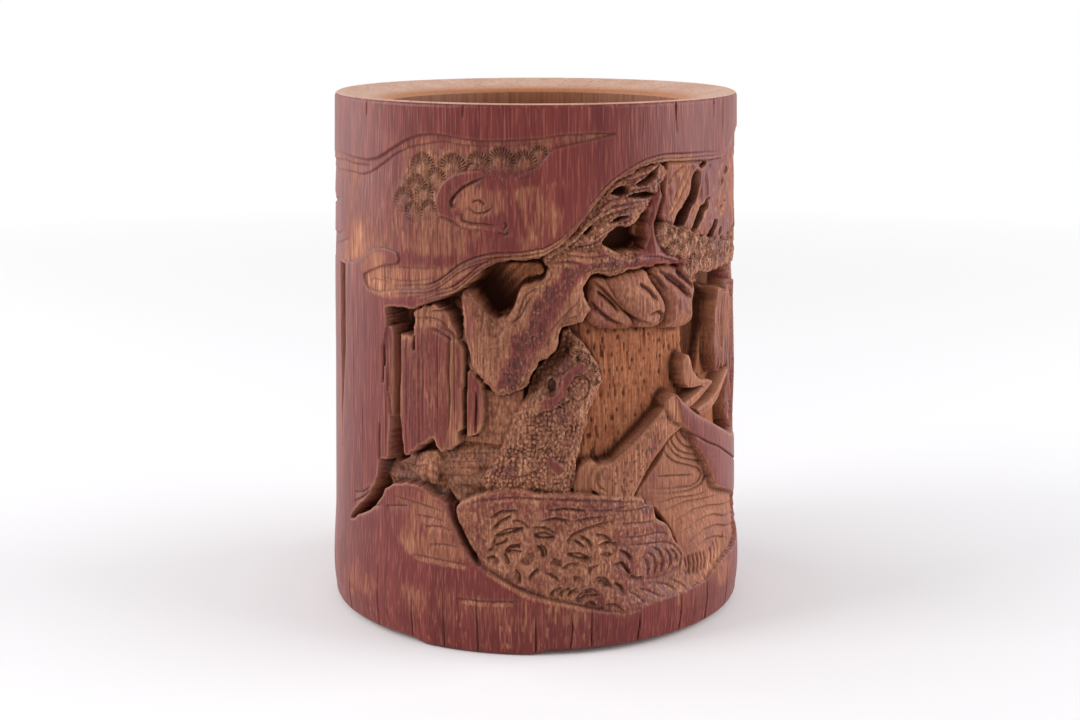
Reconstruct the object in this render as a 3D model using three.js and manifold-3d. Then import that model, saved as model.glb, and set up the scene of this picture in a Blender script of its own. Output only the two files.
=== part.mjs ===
// A carved bamboo brush vase: a thick culm wall with a landscape cut into it, a round floor let in
// from below, the putty ring that seals the floor and the four pegs that hold it.
// Millimetres, +Z up, standing on Z = 0. The photographed side faces -Y.
import Module from "manifold-3d";
import * as THREE from "three";
import { mergeVertices } from "three/addons/utils/BufferGeometryUtils.js";

// Driving dimensions of the wall. Its outside narrows towards the rim, as the culm does.
const HEIGHT = 149;
const OUTSIDE = [
  // [height, radius]
  [0, 60], [9, 60.8], [16, 60.6], [28, 59.8], [74, 58.8], [118, 58.2], [141, 57.6], [149, 57.4],
];
const LAYOUT_RADIUS = 60; // turns arc lengths of the carving into angles
const MOUTH_RADIUS = 43.5;
const RIM_FALL = 2.5; // the rim slopes down to the mouth
const EDGE = 1.2; // the worn edges at rim and foot
const WALL_SIDES = 72;

// Driving dimensions of the floor
const GAP = 0.3; // left between neighbours
const RABBET_RADIUS = 48;
const RABBET_TOP = 12.2;
const BEAD_HEIGHT = 0.6;
const FLOOR_THICKNESS = 5.5;
const FLOOR_SIDES = 72;
const PEG_RADIUS = 1.2;
const PEG_LENGTH = 13;
const PEG_INNER_END = 41;
const PEG_SIDES = 12;
const PEG_ANGLES = [30, 120, 210, 300];

// Low arches are cut between three feet, one of them in front on the left
const FOOT_CENTRES = [-16, 104, 224];
const FOOT_SPAN = 28;
const ARCH_HEIGHT = 1.3;
const ARCH_EASE = 6; // degrees over which an arch rises

// Depths of the carving below the polished skin
const SKY_DEPTH = 0.6;
const SCENE_DEPTH = 6.5;
const HOLE_DEPTH = 9.5;
const CREVICE_DEPTH = 4;
const NOTCH_DEPTH = 8.5;
const GAP_DEPTH = 6.5; // between the hanging slabs
const RELIEF_ROOT = 49; // raised forms start inside the wall at this radius
const PROUD = 4; // cutters reach this far outside the skin
const PATCH_STEP = 14; // longest edge of a curved patch
const FLATNESS = 0.25; // faces within this of each other are joined
const SAME_POINT = 1e-4; // corners closer than this are one
const BACK_TURN = 180; // the back repeats the front's layout half a turn on

// Finishes
const CARVED_BAMBOO = { color: 0x6f3a30, roughness: 0.45 };
const FLOOR_WOOD = { color: 0x9a6c48, roughness: 0.7 };
const LACQUER_PUTTY = { color: 0x3a2218, roughness: 0.6 };
const BAMBOO_PEG = { color: 0xa8794a, roughness: 0.65 };

// Outlines of the carving as [angle in degrees, height]. Angle 0 faces -Y and grows towards +X.
// They are laid out on the skin as they look from in front, at this distance and height, and each
// is moved along the line of sight to its depth. From the limb on the moves fade out.
const VIEW_DISTANCE = 524.2;
const VIEW_HEIGHT = 182.9;
const LIMB = 58;
const FAR_SIDE = 92;
const LARGEST_MOVE = 9;

const SKY = {
  outline: [
    [-93, 131], [-80, 132], [-67, 133], [-52, 132.5], [-47, 133.5], [-37, 138.5], [-32, 140.3],
    [-12, 139.3], [8, 141], [21, 141], [5, 137.5], [1, 133], [-5, 130], [-4, 121], [2, 117], [-3, 111],
    [-12, 109.8], [-22, 105], [-27, 101.3], [-40, 98.5], [-52, 97.5], [-54, 101], [-40, 105.5],
    [-40, 108.7], [-49, 108.8], [-57, 104.4], [-70, 103], [-93, 103],
  ],
  depth: SKY_DEPTH,
  seenAt: 0,
};
const SCENE = {
  outline: [
    [-43.5, 93], [-34, 93.6], [-30, 95.5], [-21, 99.3], [-15, 104.5], [-12, 106.8], [-7, 108.2],
    [0, 108.5], [6, 111.5], [15, 121.5], [22, 128.5], [30, 132], [43, 132.5], [62, 132], [70, 136],
    [80, 139], [92, 139], [93, 120], [91.5, 105], [94, 88], [91, 70], [94, 52], [92, 36], [93, 22],
    [78, 18], [62, 17], [42, 13], [25, 10], [10, 15], [0, 17], [-16, 25.5], [-20, 30.5], [-23, 41],
    [-31, 45], [-40, 45], [-45, 41.5], [-52, 34.5], [-62, 29.5], [-51, 39.5], [-48.5, 43], [-46.5, 50],
    [-43, 51], [-42, 61], [-45.5, 80], [-43.8, 88],
  ],
  depth: SCENE_DEPTH,
  seenAt: 0,
};
const HOLES = [
  // The cave between the clouds and the pine's arm
  {
    outline: [
      [-18.5, 101], [-12, 106], [-9, 107.8], [0, 108], [3, 106], [2.5, 104], [-3, 102], [-5, 99.5],
      [-6.2, 95], [-8, 93.7], [-10.5, 93], [-13, 94.5],
    ],
    depth: HOLE_DEPTH,
    seenAt: 1,
  },
  // The hollow under the twigs
  {
    outline: [[18, 112.5], [22, 116.5], [26, 116], [29.5, 119.8], [31, 119.5], [30.5, 112.5], [23, 109.9]],
    depth: HOLE_DEPTH,
    seenAt: 1,
  },
  // The recess beside the boulders
  {
    outline: [[48, 96], [54, 98], [60, 95], [59, 85], [55, 73], [52, 72], [50, 74], [47.5, 85]],
    depth: HOLE_DEPTH,
    seenAt: 2,
  },
  // The hole at the foot of the cliff
  {
    outline: [[-42.3, 50.5], [-42.3, 56], [-40.8, 63], [-38.5, 59], [-37.5, 54.5], [-38.3, 52]],
    depth: HOLE_DEPTH,
    seenAt: 0.5,
  },
  // The notch under the pine needles at the side
  {
    outline: [[60, 100.6], [66, 101], [80, 99.8], [96, 99.8], [96, 93.5], [80, 93], [70, 94.2], [60, 98]],
    depth: NOTCH_DEPTH,
    seenAt: 0,
  },
  // The gaps between the hanging slabs
  {
    outline: [
      [49, 130], [50.3, 129], [49, 123], [43.5, 116], [40, 115.3], [44, 121.5], [47.5, 128.5],
    ],
    depth: GAP_DEPTH,
    seenAt: 0.9,
  },
  {
    outline: [[48.5, 117], [53, 121], [55, 121.8], [51.5, 117], [49, 114], [46.5, 113.5]],
    depth: GAP_DEPTH,
    seenAt: 0.9,
  },
  // The upright slit at the left
  {
    outline: [[-71, 102], [-66, 102], [-66, 80], [-69, 60], [-69, 49], [-70, 60]],
    depth: CREVICE_DEPTH,
    seenAt: 0,
  },
];

// Raised forms of both sides: the outline, then its depth at the edge and at the middle
const MAIN_SLAB = {
  outline: [
    [-39.3, 86.5], [-35, 86.3], [-34.2, 93], [-27, 96], [-24, 94], [-18.9, 84], [-18.9, 74],
    [-19.6, 62], [-20.6, 58.2], [-25.5, 55.5], [-28, 58.5], [-33, 55.5], [-37, 53], [-38.6, 60],
    [-39.4, 64],
  ],
  edge: 0.7,
  middle: 0.4,
};
const LEFT_STRIP = {
  outline: [
    [-46, 84], [-44, 88.5], [-41.3, 88.5], [-40.7, 86], [-40.7, 64], [-42.4, 57], [-42.4, 51],
    [-46, 50.5], [-47, 60], [-47, 76],
  ],
  edge: 0.8,
  middle: 0.5,
};
const THIRD_STRIP = {
  outline: [[-18.2, 78.5], [-17, 79], [-13.8, 75.5], [-13.9, 66], [-16, 60.8], [-18, 60.7]],
  edge: 1.8,
  middle: 1.4,
};
const CLIFF_BACK = {
  outline: [[-14, 74], [-3, 74], [-4, 66], [-8, 57], [-21, 58], [-20, 61.5], [-15, 61.5]],
  edge: 4.6,
  middle: 4.2,
};
const LEDGES = {
  outline: [
    [-38, 52.6], [-33, 55], [-20, 58], [-8, 58], [-9, 52], [-13, 46], [-21, 41], [-32, 44], [-42, 44],
    [-45, 50.3],
  ],
  edge: 3.8,
  middle: 3,
};
const LEDGE_BLOCK = {
  outline: [[-34, 50], [-31, 55.5], [-27.5, 56], [-26, 54], [-27, 46.5], [-33, 47]],
  edge: 2.8,
  middle: 2.2,
};
const PINE_ARM = {
  outline: [
    [-20.5, 101], [-18.6, 100.8], [-17, 99.5], [-13, 94.3], [-10.5, 92.8], [-8, 93.4], [-6.3, 95],
    [-5, 99.5], [-3, 102], [2.5, 104], [3.3, 106], [2.8, 108], [10, 112.5], [18, 112.5], [23, 109.7],
    [30, 110.4], [31, 113], [31.5, 119.5], [35.3, 127.5], [36.3, 124], [33.7, 117], [34.2, 113],
    [36, 110], [45, 104], [30, 105.4], [20, 103.5], [14.5, 103.8], [13, 101], [14.5, 95], [12, 91.5],
    [8, 91], [6.5, 86], [1, 81.3], [-2, 75.2], [-8, 72.2], [-11, 72.2], [-14, 76], [-18.3, 79.3],
    [-19.8, 86.5], [-20, 94],
  ],
  edge: 1.5,
  middle: 0.4,
};
const PINE_TRUNK = {
  outline: [
    [0, 79], [5, 83.5], [7, 89], [9, 89.8], [13.5, 85.5], [17.3, 78.5], [17.6, 75.5], [14.5, 67],
    [11.3, 54], [9, 45], [-13.5, 45.5], [-15, 49], [-10, 56.5], [-6.5, 65], [-2, 73.5],
  ],
  edge: 2.8,
  middle: 1.2,
};
const UPPER_TWIGS = {
  outline: [
    [2.8, 107], [3, 111], [12, 119], [19, 127], [26, 131.5], [35, 133.5], [37, 130], [35.3, 127.5],
    [27.5, 117.7], [22, 116.8], [17.8, 112.5], [14, 110], [8, 109],
  ],
  edge: 1.9,
  middle: 1.2,
};
const HANGING_ROCK = {
  outline: [
    [35, 119], [37, 130], [38, 134], [60, 133], [70, 137], [80, 140], [96, 140], [96, 110], [80, 110],
    [66, 108], [57, 110], [48, 112.8], [38, 115.5],
  ],
  edge: 1.3,
  middle: 0.8,
};
const FOLIAGE = {
  outline: [
    [33.3, 113], [34, 116.3], [37, 117.2], [45, 114.4], [57, 110.8], [66, 109], [80, 111], [96, 111],
    [96, 101], [80, 100.5], [66, 102], [49, 102], [46, 101], [41, 107.5], [34, 109.8],
  ],
  edge: 1.3,
  middle: 0.9,
};
const LEFT_BOULDER = {
  outline: [
    [14.5, 103], [17, 103.6], [22, 100.5], [28, 93.5], [29, 91], [27, 89.3], [17, 90], [13.5, 95],
  ],
  edge: 3.6,
  middle: 2.6,
};
const MIDDLE_BOULDER = {
  outline: [
    [19, 102.8], [24, 104.5], [30, 105], [36.5, 97], [37.5, 93.5], [33, 88.7], [28, 89.3], [22, 97],
  ],
  edge: 3,
  middle: 1.5,
};
const RIGHT_BOULDER = {
  outline: [
    [33, 105.5], [39, 105.5], [47.3, 101], [48.5, 98], [48.3, 91], [47, 88.3], [37, 88.2], [37.5, 94.5],
    [32, 102.5],
  ],
  edge: 2.8,
  middle: 1.3,
};
const WATER = {
  outline: [
    [27, 43], [35, 52.7], [38, 57], [43, 60], [53, 50], [58.5, 40], [80, 34], [96, 29], [96, 20],
    [78, 15.5], [60, 14], [46, 11], [42, 20], [39, 31], [33.5, 38.5],
  ],
  edge: 3.2,
  middle: 2.7,
};
const WAVES = {
  outline: [
    [42, 20], [42, 30], [52, 33], [66, 33.5], [80, 30], [96, 27], [96, 19], [78, 15], [60, 13.5], [46, 10],
  ],
  edge: 2.2,
  middle: 1.3,
};
const ROCK = {
  outline: [
    [-21.7, 38], [-21.3, 41], [-15, 45], [-3, 46.6], [15, 44.8], [29.8, 42], [33, 39.6], [37, 34],
    [44.5, 20], [46, 11], [25, 7], [0, 14], [-17, 23], [-23, 30],
  ],
  edge: 1.3,
  middle: 0.8,
};
const SIDE_ROCKS = [
  {
    outline: [[60.5, 99], [66, 99], [67.5, 90], [65, 82], [67.5, 74], [62, 72], [58.5, 78], [60, 88]],
    edge: 2,
    middle: 1.4,
  },
  { outline: [[68.5, 99], [77, 99], [79, 84], [77, 72], [69.5, 72], [68, 82]], edge: 2, middle: 1.4 },
  { outline: [[80.5, 99], [96, 99], [96, 53], [86, 52], [80, 60]], edge: 1.8, middle: 1.2 },
];
const BRANCH = {
  outline: [
    [-14, 131.8], [-20, 131], [-25, 128], [-27, 122.5], [-24.5, 119.2], [-18, 116.2], [-4, 116.6],
    [2, 119.5], [-8, 119], [-18, 118.6], [-22, 122.5], [-19.3, 127.3], [-13.5, 130],
  ],
  edge: 0.3,
  middle: 0.1,
};
const RAISED = [
  MAIN_SLAB, LEFT_STRIP, THIRD_STRIP, CLIFF_BACK, LEDGES, LEDGE_BLOCK, PINE_ARM, PINE_TRUNK, UPPER_TWIGS,
  HANGING_ROCK, FOLIAGE, LEFT_BOULDER, MIDDLE_BOULDER, RIGHT_BOULDER, WATER, WAVES, ROCK, ...SIDE_ROCKS,
  BRANCH,
];

// Only on the front: the boat with its upright, stone, plank and two bars
const BOAT = {
  outline: [
    [38, 68.6], [41, 69.6], [46, 65], [50, 62.2], [60, 57.2], [75, 51.5], [96, 47], [96, 28], [66, 36.8],
    [58.7, 39.5], [54, 47], [49.3, 53.3], [46.2, 57.8], [39, 63],
  ],
  edge: 1,
  middle: 0.5,
};
const UPRIGHT = {
  outline: [[42.8, 78], [44.5, 80], [46.3, 78], [49.5, 73], [56, 71], [54, 69.5], [45.5, 69], [43, 72.5]],
  edge: 2.6,
  middle: 1.8,
};
const STONE = {
  outline: [[9.8, 44], [10.5, 51], [12.5, 54], [15, 54.2], [17, 53], [15, 44]],
  edge: 3.4,
  middle: 2.6,
};
const PLANK = {
  outline: [
    [14.3, 49], [14.8, 44], [18, 42], [26, 41.5], [31, 50], [38, 57.5], [43, 60.3], [38, 67.5],
    [32, 63.4], [24, 57], [17, 53.2],
  ],
  edge: 2.5,
  middle: 1.5,
};
const UPPER_BAR = {
  outline: [[43, 66.5], [51, 69.8], [56, 71.2], [57, 70.2], [49, 66.2], [45, 64.5]],
  edge: 2.3,
  middle: 1.8,
};
const LOWER_BAR = {
  outline: [[48, 64.2], [62, 68.4], [76, 71.5], [76, 69.6], [64, 66.6], [50, 61]],
  edge: 2.3,
  middle: 1.8,
};
const FRONT_FORMS = [UPRIGHT, STONE, PLANK, UPPER_BAR, LOWER_BAR, BOAT];

// Only on the back: more cliff and rock in the boat's place
const BACK_FORMS = [
  {
    outline: [[22, 87], [30, 87], [31, 60], [29, 58], [27, 54], [24.5, 55], [22, 58]],
    edge: 1.6,
    middle: 1.2,
  },
  {
    outline: [[34, 87], [43, 86], [44, 60], [42, 55], [38, 54], [34, 58]],
    edge: 2,
    middle: 1.6,
  },
  {
    outline: [
      [14, 50], [24, 53], [40, 52], [56, 56], [74, 52], [96, 54], [96, 30], [76, 36], [58, 43], [45, 46],
      [28, 44],
    ],
    edge: 2.4,
    middle: 1.2,
  },
];

const wasm = await Module();
wasm.setup();

const group = new THREE.Group();
const radians = THREE.MathUtils.degToRad;

/** A closed triangle mesh as a solid. */
function solid(geometry) {
  const bare = geometry.clone();
  bare.deleteAttribute("normal");
  bare.deleteAttribute("uv");
  const merged = mergeVertices(bare, SAME_POINT);
  const mesh = new wasm.Mesh({
    numProp: 3,
    vertProperties: new Float32Array(merged.attributes.position.array),
    triVerts: new Uint32Array(merged.index.array),
  });
  mesh.merge();
  return new wasm.Manifold(mesh);
}

/** A solid as a triangle mesh. */
function geometryOf(body) {
  const mesh = body.getMesh();
  const geometry = new THREE.BufferGeometry();
  geometry.setAttribute("position", new THREE.BufferAttribute(new Float32Array(mesh.vertProperties), 3));
  geometry.setIndex(new THREE.BufferAttribute(new Uint32Array(mesh.triVerts), 1));
  geometry.computeVertexNormals();
  return geometry;
}

/** A closed profile of [radius, height] turned about Z. */
function turned(profile, sides) {
  const points = [...profile, profile[0]].map(([radius, height]) => new THREE.Vector2(radius, height));
  return new THREE.LatheGeometry(points, sides).rotateX(Math.PI / 2);
}

/** An outline as [arc length, height], moved from where it is seen on the skin to its depth. */
function laidOut(outline, depth, turn) {
  const { clamp, radToDeg, smoothstep } = THREE.MathUtils;
  const radius = LAYOUT_RADIUS - depth;
  return outline.map(([angle, height]) => {
    const seen = radians(clamp(angle, -LIMB, LIMB));
    const across = LAYOUT_RADIUS * Math.sin(seen);
    const back = VIEW_DISTANCE - LAYOUT_RADIUS * Math.cos(seen);
    const sight = Math.atan2(across, back);
    const reached = Math.asin(clamp((VIEW_DISTANCE * Math.sin(sight)) / radius, -1, 1)) - sight;
    const move = clamp(radToDeg(reached - seen), -LARGEST_MOVE, LARGEST_MOVE);
    const moved = angle + move * (1 - smoothstep(Math.abs(angle), LIMB, FAR_SIDE));
    const farther = Math.hypot(radius * Math.sin(reached), VIEW_DISTANCE - radius * Math.cos(reached));
    const drop = ((VIEW_HEIGHT - height) * farther) / Math.hypot(across, back);
    return new THREE.Vector2(radians(moved + turn) * LAYOUT_RADIUS, VIEW_HEIGHT - drop);
  });
}

/** The outside radius of the uncarved wall at a height. */
function outsideRadius(height) {
  const above = OUTSIDE.findIndex(([level]) => level > height);
  if (above === 0) {
    return OUTSIDE[0][1];
  }
  if (above < 0) {
    return OUTSIDE.at(-1)[1];
  }
  const [[low, lowRadius], [high, highRadius]] = OUTSIDE.slice(above - 1, above + 1);
  return THREE.MathUtils.mapLinear(height, low, high, lowRadius, highRadius);
}

/** A patch of the wall from a root radius out to a depth below the skin, which may swell in the middle. */
function patch(points, root, edgeDepth, middleDepth = edgeDepth) {
  const box = new THREE.Box2().setFromPoints(points);
  const middle = box.getCenter(new THREE.Vector2());
  const half = box.getSize(new THREE.Vector2()).multiplyScalar(0.5);
  const flat = new THREE.ExtrudeGeometry(new THREE.Shape(points), { depth: 1, bevelEnabled: false });
  return solid(flat)
    .refineToLength(PATCH_STEP)
    .warp((vertex) => {
      const [arc, height, layer] = vertex;
      const across = (arc - middle.x) / half.x;
      const up = (height - middle.y) / half.y;
      const swell = Math.max(0, 1 - across * across - up * up);
      const depth = THREE.MathUtils.lerp(edgeDepth, middleDepth, swell);
      const outer = outsideRadius(height) - depth;
      const inner = root(height);
      const radius = THREE.MathUtils.lerp(inner, outer, layer);
      const angle = arc / LAYOUT_RADIUS;
      vertex[0] = radius * Math.sin(angle);
      vertex[1] = -radius * Math.cos(angle);
      vertex[2] = height;
    });
}

/** A hollow cut from outside, turned to its side of the wall. */
function recess({ outline, depth, seenAt }, turn) {
  const points = laidOut(outline, seenAt, turn);
  return patch(points, (height) => outsideRadius(height) - depth, -PROUD);
}

/** A raised form whose face lies below the skin, turned to its side of the wall. */
function relief({ outline, edge, middle }, turn) {
  return patch(laidOut(outline, edge, turn), () => RELIEF_ROOT, edge, middle);
}

/** Hollows on the front and on the back. */
function bothSides(hollows) {
  return hollows.flatMap((hollow) => [recess(hollow, 0), recess(hollow, BACK_TURN)]);
}

/** The plain wall before it is carved. */
function plainWall() {
  const outside = OUTSIDE.slice(1, -1).map(([height, radius]) => [radius, height]);
  const footRadius = OUTSIDE[0][1];
  const rimRadius = OUTSIDE.at(-1)[1];
  return turned(
    [
      [RABBET_RADIUS, 0],
      [footRadius - EDGE, 0],
      [footRadius, EDGE],
      ...outside,
      [rimRadius, HEIGHT - EDGE],
      [rimRadius - EDGE, HEIGHT],
      [MOUTH_RADIUS + EDGE, HEIGHT - RIM_FALL],
      [MOUTH_RADIUS, HEIGHT - RIM_FALL - EDGE],
      [MOUTH_RADIUS, RABBET_TOP],
      [RABBET_RADIUS, RABBET_TOP],
    ],
    WALL_SIDES,
  );
}

/** A peg or its hole, lying along a radius. */
function pegShape(radius, start, length, angle) {
  return new THREE.CylinderGeometry(radius, radius, length, PEG_SIDES)
    .translate(0, -(start + length / 2), 0)
    .rotateZ(radians(angle))
    .translate(0, 0, PEG_HEIGHT);
}

/** The low arches between the feet. */
function arches() {
  const spacing = 360 / FOOT_CENTRES.length;
  const half = (spacing - FOOT_SPAN) / 2;
  return FOOT_CENTRES.map((foot) => {
    const centre = foot + spacing / 2;
    const outline = [
      [centre - half, -PROUD],
      [centre + half, -PROUD],
      [centre + half, 0],
      [centre + half - ARCH_EASE, ARCH_HEIGHT],
      [centre - half + ARCH_EASE, ARCH_HEIGHT],
      [centre - half, 0],
    ];
    return patch(laidOut(outline, 0, 0), () => RABBET_RADIUS - PROUD, -PROUD);
  });
}

/** The main body alone, with any sliver shut in between two patches filled. */
function largest(body) {
  const [main] = body.decompose().sort((one, other) => other.volume() - one.volume());
  return main;
}

/** The wall with its carving. */
function carvedWall() {
  const forms = [
    ...[...RAISED, ...FRONT_FORMS].map((form) => relief(form, 0)),
    ...[...RAISED, ...BACK_FORMS].map((form) => relief(form, BACK_TURN)),
  ];
  const holes = [
    ...bothSides(HOLES),
    ...PEG_ANGLES.map((angle) =>
      solid(pegShape(PEG_RADIUS + GAP, PEG_INNER_END, PEG_LENGTH + GAP, angle)),
    ),
    ...arches(),
  ];
  const { union } = wasm.Manifold;
  const hollowed = solid(plainWall()).subtract(union(bothSides([SKY, SCENE])));
  const carved = union(hollowed, union(forms)).subtract(union(holes)).simplify(FLATNESS);
  return largest(carved);
}

const BEAD_TOP = RABBET_TOP - GAP;
const FLOOR_TOP = BEAD_TOP - BEAD_HEIGHT - GAP;
const FLOOR_BOTTOM = FLOOR_TOP - FLOOR_THICKNESS;
const PEG_HEIGHT = FLOOR_BOTTOM - GAP - PEG_RADIUS;
const FLOOR_RADIUS = RABBET_RADIUS - GAP;

/** Adds a named piece to the group. */
function add(name, geometry, finish) {
  const mesh = new THREE.Mesh(geometry, new THREE.MeshStandardMaterial({ ...finish, metalness: 0 }));
  mesh.name = name;
  group.add(mesh);
}

add("culm_wall", geometryOf(carvedWall()), CARVED_BAMBOO);
add(
  "floor_disc",
  new THREE.CylinderGeometry(FLOOR_RADIUS, FLOOR_RADIUS, FLOOR_THICKNESS, FLOOR_SIDES)
    .rotateX(Math.PI / 2)
    .translate(0, 0, FLOOR_TOP - FLOOR_THICKNESS / 2),
  FLOOR_WOOD,
);
add(
  "floor_putty_bead",
  turned(
    [
      [MOUTH_RADIUS + GAP, BEAD_TOP - BEAD_HEIGHT],
      [FLOOR_RADIUS, BEAD_TOP - BEAD_HEIGHT],
      [FLOOR_RADIUS, BEAD_TOP],
      [MOUTH_RADIUS + GAP, BEAD_TOP],
    ],
    FLOOR_SIDES,
  ),
  LACQUER_PUTTY,
);
PEG_ANGLES.forEach((angle, index) => {
  const peg = pegShape(PEG_RADIUS, PEG_INNER_END + GAP, PEG_LENGTH - GAP, angle);
  add(`floor_peg_${index + 1}`, peg, BAMBOO_PEG);
});

export default group;
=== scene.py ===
"""A carved bamboo brush vase: the culm wall as one dense carved surface, with its floor and pegs."""

import math

import bpy
import numpy as np
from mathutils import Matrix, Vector


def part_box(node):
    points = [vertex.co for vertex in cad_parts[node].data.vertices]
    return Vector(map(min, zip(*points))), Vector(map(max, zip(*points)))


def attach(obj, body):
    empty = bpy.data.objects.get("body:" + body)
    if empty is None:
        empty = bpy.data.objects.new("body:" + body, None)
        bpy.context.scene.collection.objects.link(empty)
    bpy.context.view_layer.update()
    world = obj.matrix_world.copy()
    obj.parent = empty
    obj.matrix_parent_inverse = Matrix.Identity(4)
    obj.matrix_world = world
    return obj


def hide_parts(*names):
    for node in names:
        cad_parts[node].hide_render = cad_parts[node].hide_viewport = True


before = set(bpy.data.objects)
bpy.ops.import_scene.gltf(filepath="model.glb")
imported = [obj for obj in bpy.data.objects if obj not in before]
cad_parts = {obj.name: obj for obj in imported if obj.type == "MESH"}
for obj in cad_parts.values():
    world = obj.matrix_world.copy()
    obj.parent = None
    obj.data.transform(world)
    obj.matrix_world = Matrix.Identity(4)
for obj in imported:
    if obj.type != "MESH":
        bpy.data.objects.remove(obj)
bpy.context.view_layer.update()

MM = 0.001

# The wall in millimetres. Angles are in degrees; 0 faces -Y and they grow towards +X.
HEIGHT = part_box("culm_wall")[1][2] / MM
OUTSIDE = [(0, 60), (9, 60.8), (16, 60.6), (28, 59.8), (74, 58.8), (118, 58.2), (141, 57.6), (149, 57.4)]
LAYOUT_RADIUS = 60.0
CIRCUMFERENCE = math.tau * LAYOUT_RADIUS
MOUTH_RADIUS = 43.5
RIM_FALL = 2.5
EDGE = 1.2
RABBET_RADIUS = 48.0
RABBET_TOP = 12.2
FOOT_CENTRES = (-16, 104, 224)
FOOT_SPAN = 28
ARCH_HEIGHT = 1.3
ARCH_EASE = 6.0
ARCH_FADE = 8.0  # the underside's arches fade out over this height

# The grid of the carved surface
RING_STEPS = 1440
HEIGHT_STEPS = 560
STEP_ARC = CIRCUMFERENCE / RING_STEPS
RIM_ROWS = 16
INSIDE_ROWS = 40
FOOT_ROWS = 8
CORNER_STEP = 0.3 * EDGE

# Depths of the carving below the polished skin
SKY_DEPTH = 0.6
SLAB_LEVEL = 0.5
SCENE_DEPTH = 6.5
HOLE_DEPTH = 9.5
CAVE_DEPTH = 7.2
CORNER_DEPTH = 7.0
ROCK_GAP_DEPTH = 6.5
TWIG_POCKET_DEPTH = 5.0
ROCK_POCKET_DEPTH = 4.0
SLIT_DEPTH = 4.0
SKIN_HOLLOW_DEPTH = 3.0
NOTCH_DEPTH = 8.5
DULL_FROM = 4.5  # below this depth the surface is left dull by the knife
DULL_MARK = 0.6  # and so it is where its dark marks and painted shade pass this

# How bare of red stain a surface is, from 0 to 1
POLISHED = 0.04
BARE = 1.0

# How strongly a curve rounds its corners
ROUND = 0.5
SHARP = 0.0
STEPS_PER_CORNER = 4
TINY = 1e-12  # keeps a piece without length from dividing by zero

NEEDLE_GAP = 0.95  # from needle to needle along the rim of a fan
CLOUD_STEPS = (1.0, -0.1, -1.1)  # how far above the clouds' edge each of its lines runs

# The carving is laid out as it looks from in front, where the camera stands
CAMERA_DISTANCE = 524.2
CAMERA_HEIGHT = 182.9
CAMERA_PITCH = 12.213
LIMB = 58.0
FAR_SIDE = 92.0
LARGEST_SHIFT = 9.0

# Outlines as (angle, height). The main ones are in the CAD source too, some with fewer points.
SKY = [
    (-93, 131), (-80, 132), (-67, 133), (-60, 132.6), (-52, 132.5), (-47, 133.5), (-42, 136), (-37, 138.5),
    (-32, 140.3), (-26, 140.7), (-18, 139.6), (-12, 139.3), (0, 140), (8, 141), (21, 141), (5, 137.5),
    (1, 133), (-5, 130), (-4, 121), (2, 117), (-3, 111), (-12, 109.8), (-18, 107.3), (-22, 105),
    (-27, 101.3), (-32, 99.5), (-40, 98.5), (-47, 97), (-52, 97.5), (-54, 101), (-46, 104.2),
    (-40, 105.5), (-39, 107), (-40, 108.7), (-44, 109.4), (-49, 108.8), (-53, 106.5), (-57, 104.4),
    (-62, 103.2), (-70, 103), (-93, 103),
]
SCENE = [
    (-43.5, 93), (-41, 93.6), (-34, 93.6), (-30, 95.5), (-25, 97.5), (-21, 99.3), (-17, 102),
    (-15, 104.5), (-12, 106.8), (-7, 108.2), (0, 108.5), (3, 110), (6, 111.5), (9, 114), (12, 118),
    (15, 121.5), (19, 126), (22, 128.5), (26, 130.5), (30, 132), (35, 132.8), (43, 132.5), (62, 132),
    (70, 136), (80, 139), (92, 139), (93, 120), (91.5, 105), (94, 88), (91, 70), (94, 52), (92, 36),
    (93, 22), (78, 18), (62, 17), (53, 14), (42, 13), (33, 12.5), (25, 10), (17, 12.5), (10, 15),
    (0, 17), (-4, 19), (-7, 21), (-10, 22.5), (-16, 25.5), (-18, 30), (-20, 30.5), (-22, 38),
    (-23, 41), (-25.5, 42.3), (-28, 43.3), (-31, 45), (-34, 45.7), (-38, 45.3), (-42, 44), (-45, 41.5),
    (-48, 37.5), (-52, 34.5), (-62, 29.5), (-55, 36), (-51, 39.5), (-48.5, 43), (-46.5, 50),
    (-44.8, 50.3), (-43, 51), (-42.5, 56), (-42, 61), (-42.5, 66), (-44, 75), (-45.5, 80), (-43.8, 88),
]
CAVE = [
    (-18.5, 101), (-15, 103.5), (-12, 106), (-9, 107.8), (-4, 108.3), (0, 108), (2, 107.5), (3, 106),
    (2.5, 104), (-1, 102.7), (-3, 102), (-5, 99.5), (-6.2, 95), (-8, 93.7), (-10.5, 93), (-13, 94.5),
    (-17, 99.5),
]
HOLLOW = [
    (18, 112.5), (19, 114), (22, 116.5), (26, 116), (29.5, 119.8), (31, 119.5), (29.5, 114.5),
    (30.5, 112.5), (28, 110.3), (23, 109.9), (21, 111),
]
SIDE_RECESS = [
    (48, 96), (54, 98), (58, 98), (60, 95), (59, 85), (57, 78), (55, 73), (52, 72), (50, 74), (47.5, 85),
]
CLIFF_HOLE = [
    (-42.3, 50.5), (-42.3, 56), (-41.8, 61), (-40.8, 63), (-39.5, 61.5), (-38.5, 59), (-37.5, 54.5),
    (-38.3, 52), (-41, 50.5),
]
# A deep corner of the cliff, cut with painted shade
DARK_CORNER = [(-43.4, 93), (-41, 93.4), (-34.2, 93.3), (-34.6, 87), (-39, 87.5), (-42.5, 89.5)]
SLIT = [(-71, 102), (-66, 102), (-66, 80), (-69, 60), (-69, 49), (-70, 60)]
SKIN_HOLLOW = [(-88, 119), (-84, 120.4), (-79, 119.6), (-80, 117.6), (-86, 117)]
NOTCH = [(60, 100.6), (66, 101), (80, 99.8), (96, 99.8), (96, 93.5), (80, 93), (70, 94.2), (60, 98)]
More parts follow.
